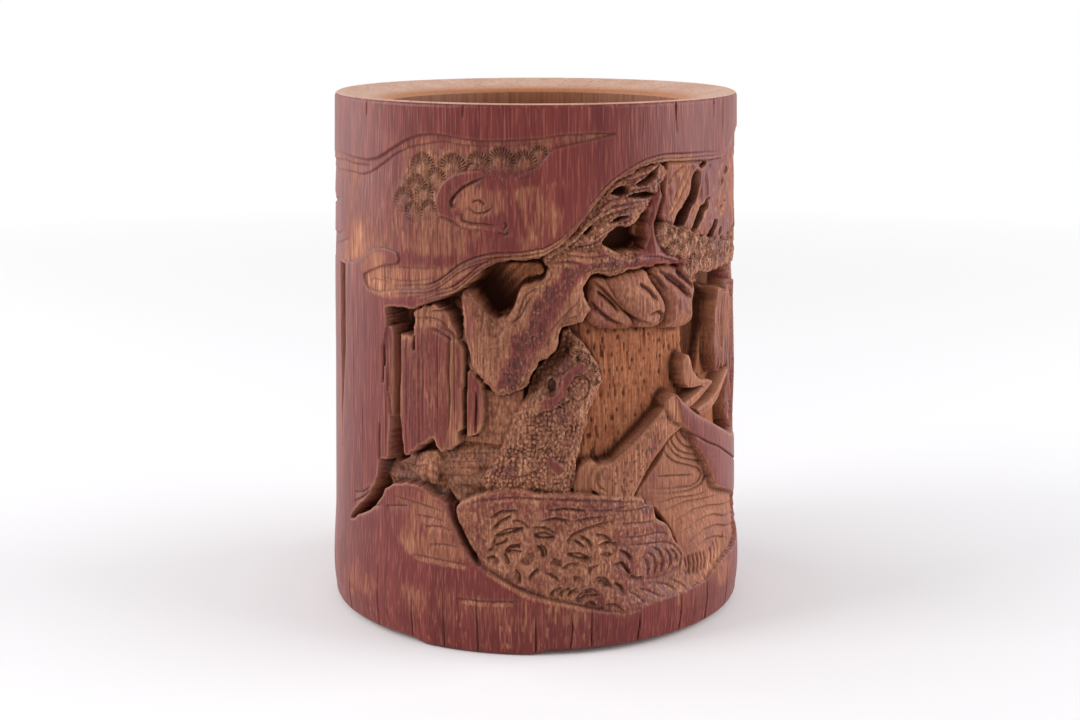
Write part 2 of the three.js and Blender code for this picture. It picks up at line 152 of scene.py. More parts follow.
MAIN_SLAB = [
    (-39.3, 86.5), (-37, 86.8), (-35, 86.3), (-34.2, 93), (-31, 95), (-27, 96), (-24, 94), (-21.5, 90),
    (-18.9, 84), (-18.9, 74), (-19.6, 73), (-19.6, 62), (-20.6, 61.5), (-20.6, 58.2), (-22, 57.2),
    (-23, 56), (-24, 56.5), (-25.5, 55.5), (-27, 57), (-28, 59), (-29.3, 58), (-30.5, 57), (-32, 56.6),
    (-33, 55.5), (-33.7, 54.5), (-35, 54.5), (-35.7, 53.4), (-37, 53), (-38, 54.6), (-38.6, 60),
    (-39.4, 64),
]
LEFT_STRIP = [
    (-46, 84), (-44, 88.5), (-41.3, 88.5), (-40.7, 86), (-40.7, 64), (-41.8, 62.5), (-42.4, 57),
    (-42.4, 51), (-46, 50.5), (-47, 60), (-47, 76),
]
THIRD_STRIP = [
    (-18.2, 78.5), (-17, 79), (-15.5, 77), (-13.8, 75.5), (-13.9, 66), (-14.8, 62), (-16, 60.8),
    (-18, 60.7), (-18.4, 66),
]
CLIFF_BACK = [
    (-14, 74), (-9, 73), (-3, 74), (-4, 66), (-8, 60), (-8, 57), (-14, 57.5), (-21, 58), (-20, 61.5),
    (-15, 61.5),
]
LEDGES = [
    (-38, 52.6), (-33, 55), (-27, 56), (-20, 58), (-8, 58), (-9, 52), (-13, 46), (-21, 41), (-26, 42),
    (-32, 45), (-42, 44), (-45, 50.3), (-42, 50.5),
]
LEDGE_BLOCK = [(-34, 50), (-33, 53.5), (-31, 55.5), (-27.5, 56), (-26, 54), (-27, 46.5), (-33, 47)]
PINE_ARM = [
    (-19.7, 100), (-17, 99.5), (-15, 97), (-13, 94.3), (-10.5, 92.8), (-8, 93.4), (-6.3, 95),
    (-5, 99.5), (-3, 102), (1, 103), (2.5, 104), (3.3, 106), (2.8, 108), (7, 111.5), (10, 112.5),
    (14, 111.5), (18, 112.5), (21, 110.8), (23, 109.7), (28, 110.2), (30, 110.4), (31, 113), (30.5, 116),
    (31.5, 119.5), (31, 121.5), (35.3, 127.5), (36.3, 124), (33.7, 117), (34.2, 113), (36, 110),
    (42, 107.5), (45, 104), (40, 105.2), (30, 105.4), (24, 104.2), (20, 103.5), (17, 104.2),
    (14.5, 103.8), (13, 101), (13.5, 98), (14.5, 95), (13.5, 93), (12, 91.5), (8, 91), (6.6, 89.5),
    (6.5, 86), (4, 82.6), (1, 81.3), (0, 79), (-2, 75.2), (-4, 73.2), (-8, 72.2), (-11, 72.2),
    (-14, 76), (-16.5, 77.7), (-18.3, 79.3), (-18.8, 84), (-19.8, 86.5), (-20, 94),
]
PINE_TRUNK = [
    (0, 79), (2.5, 82.2), (5, 83.5), (6.4, 86), (7, 89), (9, 89.8), (11, 88), (13.5, 85.5), (15.5, 82),
    (17.3, 78.5), (17.6, 75.5), (16.4, 71.5), (14.5, 67), (12.5, 60), (11.3, 54), (9, 45), (-2, 45.5),
    (-8, 45.8), (-13.5, 45.5), (-15, 49), (-13, 52.5), (-10, 56.5), (-8.5, 60), (-6.5, 65), (-4, 69),
    (-2, 73.5),
]
UPPER_TWIGS = [
    (2.8, 107), (3, 111), (9, 115), (12, 119), (19, 127), (26, 131.5), (35, 133.5), (37, 130),
    (35.3, 127.5), (31, 121.5), (27.5, 117.7), (26, 116.4), (22, 116.8), (18.5, 114.3), (17.8, 112.5),
    (14, 110), (8, 109),
]
HANGING_ROCK = [
    (35, 119), (36.3, 124), (37, 130), (38, 134), (50, 133.5), (60, 133), (70, 137), (80, 140), (96, 140),
    (96, 110), (80, 110), (66, 108), (57, 110), (48, 112.8), (38, 115.5),
]
ROCK_GAPS = [
    [(49, 130), (50.3, 129), (50.5, 126), (49, 123), (45.5, 119), (43.5, 116), (41, 115.2), (39.5, 115.5),
     (41, 118), (44, 121.5), (46.5, 125), (47.5, 128.5)],
    [(48.5, 117), (50.5, 119.5), (53, 121), (55, 121.8), (54.5, 119.5), (51.5, 117), (49, 114),
     (46.5, 113.5)],
    [(54.5, 110.5), (56, 113.5), (58.5, 115.5), (59.8, 114.8), (57.8, 112), (56.5, 110)],
]
FOLIAGE = [
    (33.3, 113), (34, 116.3), (37, 117.2), (41, 115.4), (45, 114.4), (49, 112.8), (57, 110.8), (66, 109),
    (80, 111), (96, 111), (96, 101), (80, 100.5), (66, 102), (54, 101.3), (49, 102), (46, 101),
    (43.5, 103.3), (41, 107.5), (37, 109), (34, 109.8),
]
BOULDERS = [
    # (outline, depth at the edge, depth in the middle)
    ([(14.5, 103), (17, 103.6), (20, 102.8), (22, 100.5), (25, 97), (28, 93.5), (29, 91), (27, 89.3),
      (22, 89.2), (17, 90), (14, 92), (13.5, 95)], 3.6, 2.6),
    ([(19, 102.8), (24, 104.5), (30, 105), (34, 101), (36.5, 97), (37.5, 93.5), (36.5, 90), (33, 88.7),
      (28, 89.3), (26, 92.5), (22, 97)], 3.0, 1.5),
    ([(33, 105.5), (39, 105.5), (44, 103.5), (47.3, 101), (48.5, 98), (47.8, 94.5), (48.3, 91), (47, 88.3),
      (42, 87.8), (37, 88.2), (37.5, 91), (37.5, 94.5), (35.5, 98.5), (32, 102.5)], 2.8, 1.3),
]
WATER = [
    (27, 43), (31, 48.5), (35, 52.7), (38, 57), (43, 60), (48, 56), (53, 50), (58.5, 40), (66, 38),
    (80, 34), (96, 29), (96, 20), (78, 15.5), (60, 14), (46, 11), (42, 20), (39, 31), (33.5, 38.5),
]
ROCK = [
    (-21.7, 38), (-21.3, 41), (-19, 43), (-15, 45), (-8, 46.4), (-3, 46.6), (0, 45.6), (5, 45.2),
    (10, 45.3), (15, 44.8), (20, 43.7), (27, 42.9), (29.8, 42), (30.3, 40.6), (33, 39.6), (34, 36),
    (37, 34), (39, 31.5), (40, 29), (43.5, 25), (44.5, 20), (46, 11), (25, 7), (0, 14), (-10, 20),
    (-17, 23), (-23, 30),
]
SIDE_ROCKS = [
    # (outline, depth at the edge, depth in the middle)
    ([(60.5, 99), (66, 99), (67.5, 90), (65, 82), (67.5, 74), (62, 72), (58.5, 78), (60, 88)], 2.0, 1.4),
    ([(68.5, 99), (77, 99), (79, 84), (77, 72), (69.5, 72), (68, 82)], 2.0, 1.4),
    ([(80.5, 99), (96, 99), (96, 53), (86, 52), (80, 60)], 1.8, 1.2),
]
BRANCH = [
    (-14, 131.8), (-17, 131.7), (-20, 131), (-22.5, 130), (-25, 128), (-26.6, 125), (-27, 122.5),
    (-26.3, 120.5), (-24.5, 119.2), (-22, 118.4), (-21, 117), (-18, 116.2), (-12, 115.9), (-8, 115.6),
    (-4, 116.6), (-1, 118.3), (2, 119.5), (0, 120.3), (-4, 119.3), (-7.5, 119), (-9, 117.6), (-14, 117.9),
    (-18, 118.4), (-19.3, 120), (-20, 121.5), (-22, 122), (-23, 123.2), (-21.5, 125.3), (-19.3, 127.3),
    (-16.5, 129), (-13.5, 130),
]

# Only on the front
UPRIGHT = [
    (42.8, 78), (43.8, 80), (45.3, 80), (46.3, 78), (47.2, 75.5), (49.5, 73), (53, 71.8), (56, 71),
    (54, 70), (49, 70.2), (45.5, 70.3), (43.6, 72), (43, 75),
]
STONE = [(9.8, 46), (10.5, 51), (12.5, 54), (15, 54.2), (17, 53), (15, 50), (15, 45)]
PLANK = [
    (14.3, 49), (14.8, 46.2), (18, 43.8), (22, 42), (26, 42.5), (28.5, 46.5), (31, 50), (34, 53.6),
    (38, 57.5), (43, 60.3), (41.5, 62), (39.5, 65), (38, 67.5), (35.5, 66.2), (32, 63.4), (28, 60.2),
    (24, 57), (20.5, 54), (17, 53.2), (15.2, 52),
]
BARS = [
    [(43, 66.5), (47, 68.2), (51, 69.8), (56, 71.2), (57, 70.2), (53, 68.2), (49, 66.2), (45, 64.5)],
    [(48, 64.2), (54, 65.4), (58, 66.8), (62, 68.4), (67, 70.2), (76, 71.5), (76, 69.6), (70, 68.8),
     (64, 66.6), (60, 64.6), (56, 62.8), (50, 62)],
]
BOAT = [
    (38, 68.6), (39.6, 69.6), (41, 69.6), (43, 67.5), (46, 65), (50, 62.2), (54, 60.2), (60, 57.2),
    (66, 54.7), (75, 51.5), (96, 47), (96, 28), (78, 33), (66, 36.8), (58.7, 39.5), (56.2, 43.7),
    (54, 47), (51.3, 50.5), (49.3, 53.3), (48.2, 55.8), (46.2, 57.8), (43, 60.3), (39, 63), (37.8, 66),
]
PROW = [(37.6, 69), (40, 69.8), (41.4, 67.5), (42.2, 64), (42.8, 60), (38, 62)]

# Only on the back
BACK_SLABS = [
    # (outline, depth at the edge, depth in the middle)
    ([(22, 87), (26, 87.5), (30, 87), (31, 60), (29, 58), (27, 54), (24.5, 55), (22, 58)], 1.6, 1.2),
    ([(34, 87), (43, 86), (44, 60), (42, 55), (38, 54), (36, 57), (34, 58)], 2.0, 1.6),
]
BACK_ROCK = [
    (14, 50), (24, 53), (40, 52), (56, 56), (74, 52), (96, 54), (96, 30), (76, 36), (58, 43), (45, 46),
    (28, 45),
]

# Fine carving: lines as (angle, height). A folded line is cut lower on its right-hand side.
SKY_LINES = [
    [(-93, 127), (-80, 128), (-60, 128.6), (-55, 128.3), (-50, 129.5), (-45, 132), (-40, 135), (-35, 137),
     (-28, 138.5), (-24, 139), (-20, 138.3), (-14, 138), (-8, 138.2), (0, 139), (6, 139.6)],
    [(-93, 129.6), (-80, 130.4), (-66, 131.4), (-58, 131), (-50, 131.2)],
    [(-87, 119.5), (-80, 119), (-74, 119.8), (-70, 120.5)],
    [(-93, 109), (-82, 109.4), (-74, 110), (-67, 111.5)],
    [(-80, 106.5), (-70, 108), (-62, 110)],
]
CLOUD_EDGE_LINES = [
    [(-42, 98.2), (-35, 99.2), (-30, 99.8), (-27, 101), (-24, 103), (-21, 105.4), (-18, 107.1),
     (-14, 108.6), (-10, 109.4), (-4, 109.7), (2, 110.8), (6, 113), (9, 116), (12, 119.5)],
    [(-31, 97), (-27, 98.4), (-22, 100), (-19, 102.2), (-16, 104.9), (-13, 107), (-10, 108.1), (-5, 108.8),
     (1, 109.5)],
    [(12, 119.8), (16, 124), (20, 128), (25, 131), (30, 133), (36, 134), (46, 133.7), (60, 133.2)],
]
MIST_LINES = [
    [(-46, 104), (-40, 104.6), (-33, 105), (-26, 105.4)],
    [(-47, 101.5), (-40, 101), (-33, 101.6), (-27, 103)],
    [(-36, 96.6), (-30, 98), (-25, 99.5)],
    [(-52, 99.5), (-48, 100.5), (-43, 100)],
]
BRANCH_LINES = [
    [(-20.8, 122.4), (-22.3, 121.9), (-23, 123.2), (-21.5, 125.3), (-19.3, 127.3), (-16.5, 128.8),
     (-13.6, 130)],
    [(-19.5, 120.5), (-19.2, 118.7), (-17, 118), (-13.5, 117.9), (-10, 117.5)],
    [(-17.8, 122.2), (-16, 120.7), (-13.5, 120.8), (-11.2, 122.2)],
    [(-13, 122.6), (-15, 123.8), (-16.6, 123.2)],
    [(-19, 131.4), (-17.4, 133.4), (-15, 133), (-15.6, 131.4)],
    [(-8, 118.8), (-7.3, 117.5), (-8.2, 116.2)],
    [(-9.6, 116), (-8, 115.2), (-6.8, 115.9)],
    [(-29.5, 129), (-28.6, 127), (-26.3, 125.6)],
    [(-32.6, 130), (-32, 127)],
    [(-26, 119.4), (-22, 118.2), (-19, 116)],
]
NEEDLE_ZONE = [
    (-39, 120.5), (-40, 126), (-37, 132), (-33, 136.5), (-27, 137.5), (-19, 137), (-8, 137.4), (2, 138.4),
    (3, 136), (-3, 131.4), (-14, 131.6), (-21, 130), (-26, 126), (-26, 121), (-31, 118.4),
]
SKY_FANS = [
    # (angle, height, radius) of each fan of needles
    (-31, 131.7, 4.1), (-22, 131.7, 4.3), (-15, 133.3, 3.4), (-9, 133.6, 4.2), (-3, 133.4, 3.8),
    (-27, 129, 3.2), (-33, 126.4, 3.6), (-37, 122.8, 3.6), (-30.5, 124.5, 3.2), (-34, 119.8, 3.0),
    (-29, 120.6, 3.0), (1, 136, 2.4),
]
CLIFF_SPLITS = [
    # (angle, low end, high end, width, depth)
    (-40.3, 58, 92, 0.75, 3.0), (-45.0, 72, 83, 0.35, 2.0), (-46.3, 50, 61, 0.3, 0.9),
    (-33.8, 82.5, 87, 0.35, 2.0), (-19.2, 60, 75, 0.4, 3.0), (-16.0, 61, 73, 0.3, 1.2),
    (-23.2, 62, 89, 0.2, 0.8), (-21.7, 60, 89, 0.16, 0.5), (-38.7, 64, 86, 0.2, 0.5),
    (-35.5, 56, 85, 0.12, 0.25), (-31.0, 59, 92, 0.14, 0.3), (-26.4, 58, 93, 0.12, 0.25),
    (-43.4, 55, 86, 0.14, 0.35), (-49, 56, 78, 0.12, 0.2), (-28.8, 62, 92, 0.1, 0.2),
    (-59, 60, 96, 0.12, 0.2), (-54, 46, 72, 0.12, 0.2),
]
SLAB_MIDDLE = 70  # the height at which the slab's bands are placed
SLAB_BANDS = [(-39, 0.9), (-22.4, 0.8)]  # (angle, width) of the bare bands down the slab's sides
CLIFF_LINES = [
    [(-34, 91.6), (-29, 92), (-25.5, 91.5), (-23, 89), (-20.5, 86.8), (-19, 85), (-17.3, 80.5),
     (-15.3, 77.2), (-13.7, 74.5)],
    [(-28.5, 89.6), (-24.5, 88), (-22.4, 86.4)],
    [(-22.8, 91), (-21.8, 91.8), (-20.4, 91), (-19.8, 88.5), (-20.4, 87)],
    [(-20.1, 93), (-19.6, 90), (-18.6, 86), (-17, 80.5)],
    [(-31, 95), (-28, 96.4), (-24, 97), (-21, 96)],
    [(-29, 93.6), (-25, 94.4), (-22, 93.4)],
    [(-39.3, 86.4), (-36, 86.8), (-33.6, 85.8)],
]
LEDGE_LINES = [
    [(-21, 58.8), (-15, 58.6), (-9, 58.2)],
    [(-21, 55.6), (-15, 56), (-10, 56.4)],
    [(-26, 52.8), (-20, 53.4), (-12, 54)],
    [(-25, 50.9), (-20, 51.6), (-13, 52)],
    [(-24, 49), (-19, 49.6), (-14, 49)],
    [(-26, 46.8), (-21, 46.6), (-16, 47)],
    [(-39, 50.5), (-34, 50.3), (-30, 51.5)],
    [(-43, 48), (-37, 48.6), (-32, 47.6)],
]
MOUND_LINES = [
    [(-41, 41), (-35, 40.6), (-29, 40), (-24.5, 39)],
    [(-44, 37.6), (-39, 38.6), (-36, 39)],
    [(-33, 37.2), (-28, 37), (-24, 36.4)],
    [(-31, 34.2), (-26, 34.8), (-22, 34)],
    [(-29, 29.4), (-24, 30), (-20.5, 29.6)],
    [(-34, 25.8), (-26, 25.5), (-17, 25)],
    [(-60, 35), (-55, 37.6), (-50.5, 41)],
    [(-60, 37.8), (-55, 39), (-51, 41.6)],
    [(-57, 32.6), (-51, 35.6), (-46, 37.6)],
    [(-21, 15.6), (-14, 15.3), (-4, 15.8)],
    [(-16, 25.6), (-10, 22.6), (-4, 19), (0, 17.2), (8, 15.4), (14, 13.4), (25, 10.2)],
]
ARM_LINES = [
    # Down along the arm's borders first, then out along its upper branches
    [(-8.4, 91), (-5, 93), (-3.9, 96), (-2.8, 99), (-0.8, 100.6), (2, 101)],
    [(-6.6, 91.2), (-3.8, 94), (-2.4, 97), (-0.4, 99.6)],
    [(4.6, 86.4), (5.6, 90), (8, 92.8), (11, 93.8), (12.4, 96), (11.8, 99)],
    [(1, 84.6), (3, 86.6), (4, 90), (6.5, 93), (9, 95.4)],
    [(6.8, 92.8), (9, 95.6), (11, 97.4), (12, 99.6)],
    [(-19, 98), (-18, 93), (-17.8, 88), (-16, 82)],
    [(-14.4, 97), (-13.8, 92), (-14.6, 88)],
    [(14, 105.4), (20, 105.2), (25, 106), (31, 106.6)],
    [(3.5, 107.4), (8, 108.2), (12, 107.4)],
    [(6, 110.5), (10, 109.6), (15, 109), (20, 109.4)],
    [(10, 111.6), (13, 110.4), (17, 110.8)],
    [(31.5, 110), (32.6, 113), (32.2, 117), (33.4, 121)],
    [(29, 108.4), (34, 108), (38, 107), (42, 105.6)],
]
ARM_BAND = [
    (-6.5, 74.5), (-5, 80), (-2.5, 86), (1, 91), (3.5, 96.5), (6.5, 101.5), (11, 106), (17, 108), (24, 107.6),
    (29, 107.4),
]
ARM_DISH = [(-12.8, 93), (-9, 93.2), (-8.2, 90), (-10, 87.6), (-12.6, 88.4)]
# Along this line a painted shadow falls under the arm
ARM_SHADOW = [(-4, 71), (-0.6, 74), (1.8, 78), (5, 81), (8, 84), (9.4, 87.6), (12.5, 89)]
KNOB = [
    (9.4, 84.4), (10.6, 86), (13, 85), (15.4, 82), (17.2, 78.5), (17.4, 75.5), (15.8, 74.5), (14.4, 78),
    (12, 80.8), (9.8, 81.8),
]
KNOT_RIM = [(2.4, 77), (4, 78.6), (6, 77.4), (6.6, 74.8), (5.4, 72.4), (3, 71.8), (1.6, 74)]
KNOT_HOLE = [(3.4, 76), (4.6, 76.8), (5.6, 75.4), (5.2, 73.4), (3.9, 72.8), (3.2, 74.4)]
TRUNK_RING = [(5.8, 78.8), (3.6, 79.4), (1.8, 77.8), (1.4, 75.2), (2.4, 72.8)]
TRUNK_BANDS = [
    [(0, 69), (3.5, 70.3), (6, 72.2), (7.6, 75.4), (9.4, 78.2), (12, 79.6), (14.5, 79)],
    [(3, 54.5), (5.5, 53), (7, 51)],
]
TRUNK_FOLDS = [
    [(0.6, 75.5), (1.5, 79), (4, 80), (6.4, 78), (6.6, 74.6)],
    [(9, 75), (10.2, 77.2), (13, 77.4), (14.6, 75), (13.6, 71.6), (11, 70.4)],
    [(9, 75), (9, 72.6), (11, 70.4)],
    [(-1, 66), (2, 68), (6, 69), (10, 72)],
    [(8, 84.6), (11, 83.4), (14, 80.6)],
    [(-8, 50), (-3, 50.6), (1, 52.6)],
]
BOULDER_FOLDS = [
    [(15, 103), (18, 100.8), (21, 97.8), (24.5, 94.2), (29, 91.2), (33, 89.8)],
    [(16.6, 100), (18.6, 98.6), (21.6, 96), (23, 94)],
    [(15, 97.2), (17.6, 94.6), (20.5, 92.2), (24.5, 90.2)],
    [(36.8, 89.6), (37.6, 92.4), (37, 95.4), (35.2, 98.6), (32.6, 101.4)],
    [(28.5, 101.4), (31.4, 99.6), (34.4, 96.4)],
    [(32, 104), (35, 102), (38, 98.6)],
    [(35, 104.4), (39, 101.6), (43.4, 98.6), (47, 95.2)],
    [(37.4, 103.4), (41.4, 100.8), (45.4, 97.6)],
    [(41, 104), (44.6, 101.6), (47.6, 98.6)],
    [(31, 92.4), (34.4, 93.4), (36.6, 92), (36, 89.6)],
]
TWIG_LINES = [
    [(7, 112), (11, 115), (15, 119), (19, 121), (25, 122.4), (31, 123)],
    [(16, 120.6), (20, 123.2), (26, 123.8), (32, 124.6)],
    [(20, 125), (26, 127), (31, 127.4), (35, 129.6)],
    [(14, 114.4), (18, 117), (22, 118.6), (27, 119.6)],
    [(10, 113), (15, 113.6), (18, 115.6), (22, 118)],
    [(24, 129.4), (29, 130.4), (34, 132.6)],
]
TWIG_POCKETS = [
    [(20, 125.4), (22, 127), (24.4, 127.2), (25, 125.8), (22.6, 124.8)],
    [(27, 127.6), (30, 128.9), (33, 131), (34.5, 132), (33, 129.4), (30, 127.5), (28, 127)],
    [(24.6, 124.4), (28, 124), (31, 123.8), (33.6, 124.6), (31, 125.4), (27, 125.2)],
    [(19.4, 117.8), (22, 119.2), (24.6, 119.4), (22, 118)],
    [(12.4, 115.4), (14.4, 117.4), (15, 116.8), (13.2, 115)],
    [(6.4, 109.6), (9.4, 110.4), (10.6, 109.8), (8, 109)],
]
ROCK_POCKETS = [
    [(50.4, 131.2), (53.4, 132.2), (53.6, 131.2), (51, 130.2)],
    [(63, 125.2), (65, 127), (65.6, 125.4), (64, 124.2)],
    [(66.4, 128), (69, 129.4), (70.4, 128), (68, 127)],
    [(60.2, 111.6), (62, 113.2), (63.6, 112.4), (62, 110.4)],
    [(61.6, 118.2), (64, 119), (64, 117.8)],
    [(65, 120), (68, 121), (67.6, 119.6)],
]
HANGING_LINES = [
    [(36.4, 119), (39.4, 122.4), (42.4, 127), (45.4, 131.6)],
    [(37.6, 118), (41.4, 122), (44.6, 126.6), (47, 131.6)],
    [(45.6, 117.4), (49.6, 121.8), (52.2, 126.6), (56, 131)],
    [(51, 116.4), (55.6, 121.6), (60, 127), (66, 133)],
    [(55, 115.6), (60, 120.8), (66, 128), (73, 135)],
    [(60.6, 114.6), (66, 120), (72, 128), (80, 136)],
    [(68, 112), (76, 122), (84, 135)],
    [(37.6, 127), (40, 129.6), (43.6, 131.8)],
]
ROSETTES = [
    # (angle, height, radius) of each cluster of needles
    (36.4, 115, 2.2), (39.6, 113, 2.8), (43.6, 112.4, 2.8), (40, 109.4, 2.6), (45, 108.6, 3.2),
    (48.6, 111, 2.8), (48, 104.6, 3.0), (51.6, 108, 3.2), (54.6, 104.4, 3.0), (57, 108, 3.2),
    (60.6, 104, 3.0), (64, 107, 3.2), (68, 103.6, 3.0), (71, 107.4, 3.2), (76, 104, 3.2), (79, 108.4, 3.2),
    (84, 104, 3.2), (88, 108, 3.2), (93, 104, 3.2),
]
WHIRL_LINES = [
    [(36, 57.6), (37, 54), (39, 51.6), (42, 50), (46, 48.6), (50, 47), (51.5, 45), (50.4, 43), (47, 42.2),
     (42, 42.9), (36, 43.5), (30, 44.5)],
    [(37.6, 58.4), (38.4, 55.4), (40.4, 53), (43, 51.3), (47, 50), (52, 48.6), (53.7, 46), (53.2, 43.5),
     (51, 41.7), (46, 41.2), (38, 41.9), (31, 43)],
    [(39, 59), (39.7, 56.2), (41.6, 53.8), (45, 52.2), (49, 51.2)],
    [(41, 59.4), (41.6, 57.2), (43.2, 55.2), (45.4, 54), (48, 53.6)],
    [(43, 59.4), (43.6, 57.6), (45.4, 56.2)],
    [(34, 47.6), (38, 47.2), (43, 46.4), (47.6, 45.6)],
]
WAVE_LINES = [
    [(35, 39.6), (42, 40), (49, 39), (56, 38.6)],
    [(37, 36.8), (45, 38), (54, 37), (62, 36.2)],
    [(40, 33), (48, 35), (56, 34.6), (66, 32.4), (80, 30), (95, 27.5)],
    [(42, 29.4), (50, 31.8), (58, 31.6), (67, 28.8), (80, 26.6), (95, 24.6)],
    [(45, 26), (52, 28.6), (60, 28), (68, 25.6), (79, 23.4), (95, 21.6)],
    [(46, 23.6), (53, 25.6), (60, 24.6), (68, 22)],
]
ROCK_LINES = [
    [(-19, 41.4), (-14, 43.4), (-6, 44.6), (2, 44.2), (9, 43.8), (16, 43), (23, 42), (29, 41.4)],
    [(21, 39.5), (26, 39.2), (33, 39.4)],
    [(23, 35.8), (28, 35.4), (34, 35)],
    [(14, 40.4), (20, 40.2), (26, 40.6)],
    [(22, 32.2), (28, 31.4), (34, 31.6), (38, 30.6)],
    [(20.4, 30.2), (25, 29.4), (31, 29), (37, 28.4), (41, 26.6), (43.4, 23.4), (42, 20.2), (38, 19),
     (33.5, 18.4), (29.5, 19)],
    [(-20.6, 36), (-17.4, 33), (-15.6, 29.5), (-15.8, 26.4)],
    [(28, 17), (31, 15.8), (34, 14), (37, 13)],
    [(33.6, 17.4), (37, 16.4), (41, 13.6)],
    [(38.6, 17.6), (42, 15.6), (45, 12.8)],
    [(25, 16.6), (27.6, 15), (29.6, 12.6)],
]
CREVICE = [(-25, 44.6), (-23, 41), (-21.4, 36), (-18.8, 31), (-16.6, 27.5), (-14.6, 25)]
ROCK_FOOT = [(25, 10.6), (18, 12), (10, 14.4), (2, 16.6), (-4, 18.9), (-10, 22.3), (-15, 25.4)]
SHELL_LINES = [
    [(32.6, 28), (35.4, 26), (36.4, 23), (35.2, 19.6)],
    [(31, 26.8), (33.2, 25), (34, 22.4), (33, 19.6)],
    [(29.6, 25.8), (31, 24), (31.6, 21.8), (30.8, 19.8)],
    [(36.4, 27), (38.6, 24.8), (39.2, 22), (38, 19.6)],
    [(39.4, 26), (41.2, 24), (41.4, 21.4)],
]
LEAF_LINES = [
    [(-11.5, 35.2), (-9.6, 37.6), (-6.4, 39.4)], [(-11.2, 33.3), (-8, 34.2), (-3, 36)],
    [(-11.2, 33.3), (-7.4, 35.6), (-3, 36)], [(-6, 38.3), (-3.5, 37.8), (-1.4, 35.8)],
    [(-11, 30.8), (-8.8, 31.7), (-7.4, 33)], [(-8.6, 29), (-6.4, 31), (-3.6, 31.6)],
    [(-8.6, 29), (-7.4, 27.6), (-6.6, 25.6)], [(-8.4, 29.2), (-5.6, 29.6), (-3.4, 29.4)],
    [(0.3, 31.4), (1.9, 29.6), (2.4, 27.2)], [(1.2, 31.6), (2.9, 29.8), (3.2, 27.6)],
    [(-0.6, 34.2), (1.6, 33.3), (5.4, 33.2)], [(-0.6, 34.2), (2.2, 34.8), (5.4, 33.2)],
    [(1.4, 38), (5, 38.8), (9.4, 37.8)], [(10, 37.6), (14, 38.4), (19, 38.2)],
    [(-1, 36.2), (2.6, 36.2), (6, 34)], [(7.8, 31.6), (9.6, 34), (13, 35.4), (20.5, 37)],
    [(9.8, 32.5), (11.6, 31.6), (13.4, 29.8)], [(11.8, 33.6), (14.2, 32), (15.5, 29.6)],
    [(8.2, 28.8), (11, 27.4), (14.8, 27)], [(8.2, 28.8), (11.6, 28.6), (14.8, 27)],
    [(-5.2, 24.6), (-4, 22.8), (-3.8, 20.2)], [(-2, 21.6), (-1, 23.4), (0.8, 25)],
    [(3.4, 16.8), (4.6, 18.6), (6.8, 19.4)], [(5.8, 16.8), (7, 18.4), (9.2, 19.3)],
    [(8.2, 16.6), (9.2, 18), (10.8, 19)], [(10, 15.4), (12.4, 18), (14.8, 18.4), (16.8, 17.2)],
    [(10.4, 15.2), (13, 16.6), (17.6, 16.7)], [(15, 19.8), (16.6, 21.5), (19, 20.8), (20.7, 17.6)],
    [(20.4, 24.4), (23.6, 24.9), (25.9, 21.4)], [(18.4, 13.6), (21, 13.6), (24.2, 10.4)],
    [(26, 21), (27.4, 20), (29.4, 20.2)], [(6.6, 24.2), (8.4, 25.6), (11.4, 25.8)],
    [(16, 33.6), (18.6, 33), (20.6, 31.2)], [(16.6, 30.4), (19.2, 31), (22.4, 30.4)],
    [(22.6, 28.4), (25, 27.4), (26.6, 25.2)], [(-13, 29), (-11.4, 30.4), (-11, 33)],
    [(-13.4, 27), (-11, 27.8), (-9.4, 26)], [(21, 19.6), (23, 18.4), (24.2, 16)],
    [(-12, 38.6), (-9, 40.6), (-4.6, 41)], [(3, 41), (8, 41.4), (14, 40.4)],
]
LEAF_PITS = [
    [(-4.4, 26.5), (-2.4, 28.4), (-0.6, 29.4), (-0.1, 27), (-1.5, 25.6), (-3, 25.6)],
    [(3.6, 25.9), (5, 27.7), (6.6, 26.6), (7, 25)], [(2.4, 23.4), (4.2, 23.5), (6, 22), (6.4, 20.6)],
    [(13.6, 24.4), (16.8, 24.9), (15, 23.6), (14.2, 22.2)], [(9.9, 22.5), (12.2, 21.7), (10, 20.6)],
    [(16.9, 27.6), (18.6, 28.2), (20.8, 27.6), (19.6, 26.6)], [(12.4, 13.9), (14.6, 15), (16.2, 13.4)],
    [(16.4, 20.4), (18.4, 20.6), (19.4, 18.8), (17.6, 18.4)], [(24.6, 22.6), (25.8, 22.4), (25.6, 21.2)],
    [(-7.6, 29.9), (-4.6, 31.2), (-4, 30.2)], [(11.4, 16.6), (13.6, 17.8), (15.4, 17.2), (13.2, 16.9)],
]
GRASS = [
    # (angle, height, length)
    (44.6, 17, 5), (46.2, 16.4, 6), (47.8, 16, 6.6), (49.4, 16, 6.6), (51, 16.4, 6), (52.8, 16.6, 5.4),
    (56, 17.4, 5), (58.4, 18, 5.4), (61, 18.4, 5), (66, 19, 5),
]
PLANK_LINES = [
    [(16.4, 52.4), (20.6, 53.2), (24.6, 56.2), (28.6, 59.4), (32.6, 62.6), (36, 65.4)],
    [(28.4, 46.4), (31, 49.6), (34.4, 53.2), (38.4, 56.9), (42, 59.6)],
    [(16, 50.4), (16.6, 47.2), (19.4, 45)],
]
BOAT_LINES = [
    [(44.6, 58.8), (50, 55.6), (55, 53), (60, 51), (65, 48.6), (70, 46.4), (80, 42.6), (95, 38)],
]
FOOT_CRACKS = [
    # (angle, length)
    (-47.2, 20), (-34.6, 15), (-24.6, 10), (-15.3, 17), (0.2, 11.5), (9.4, 12), (14.8, 14), (28, 10),
    (42, 13), (53.2, 15), (66, 14), (80, 9), (-62, 11), (-78, 15),
]
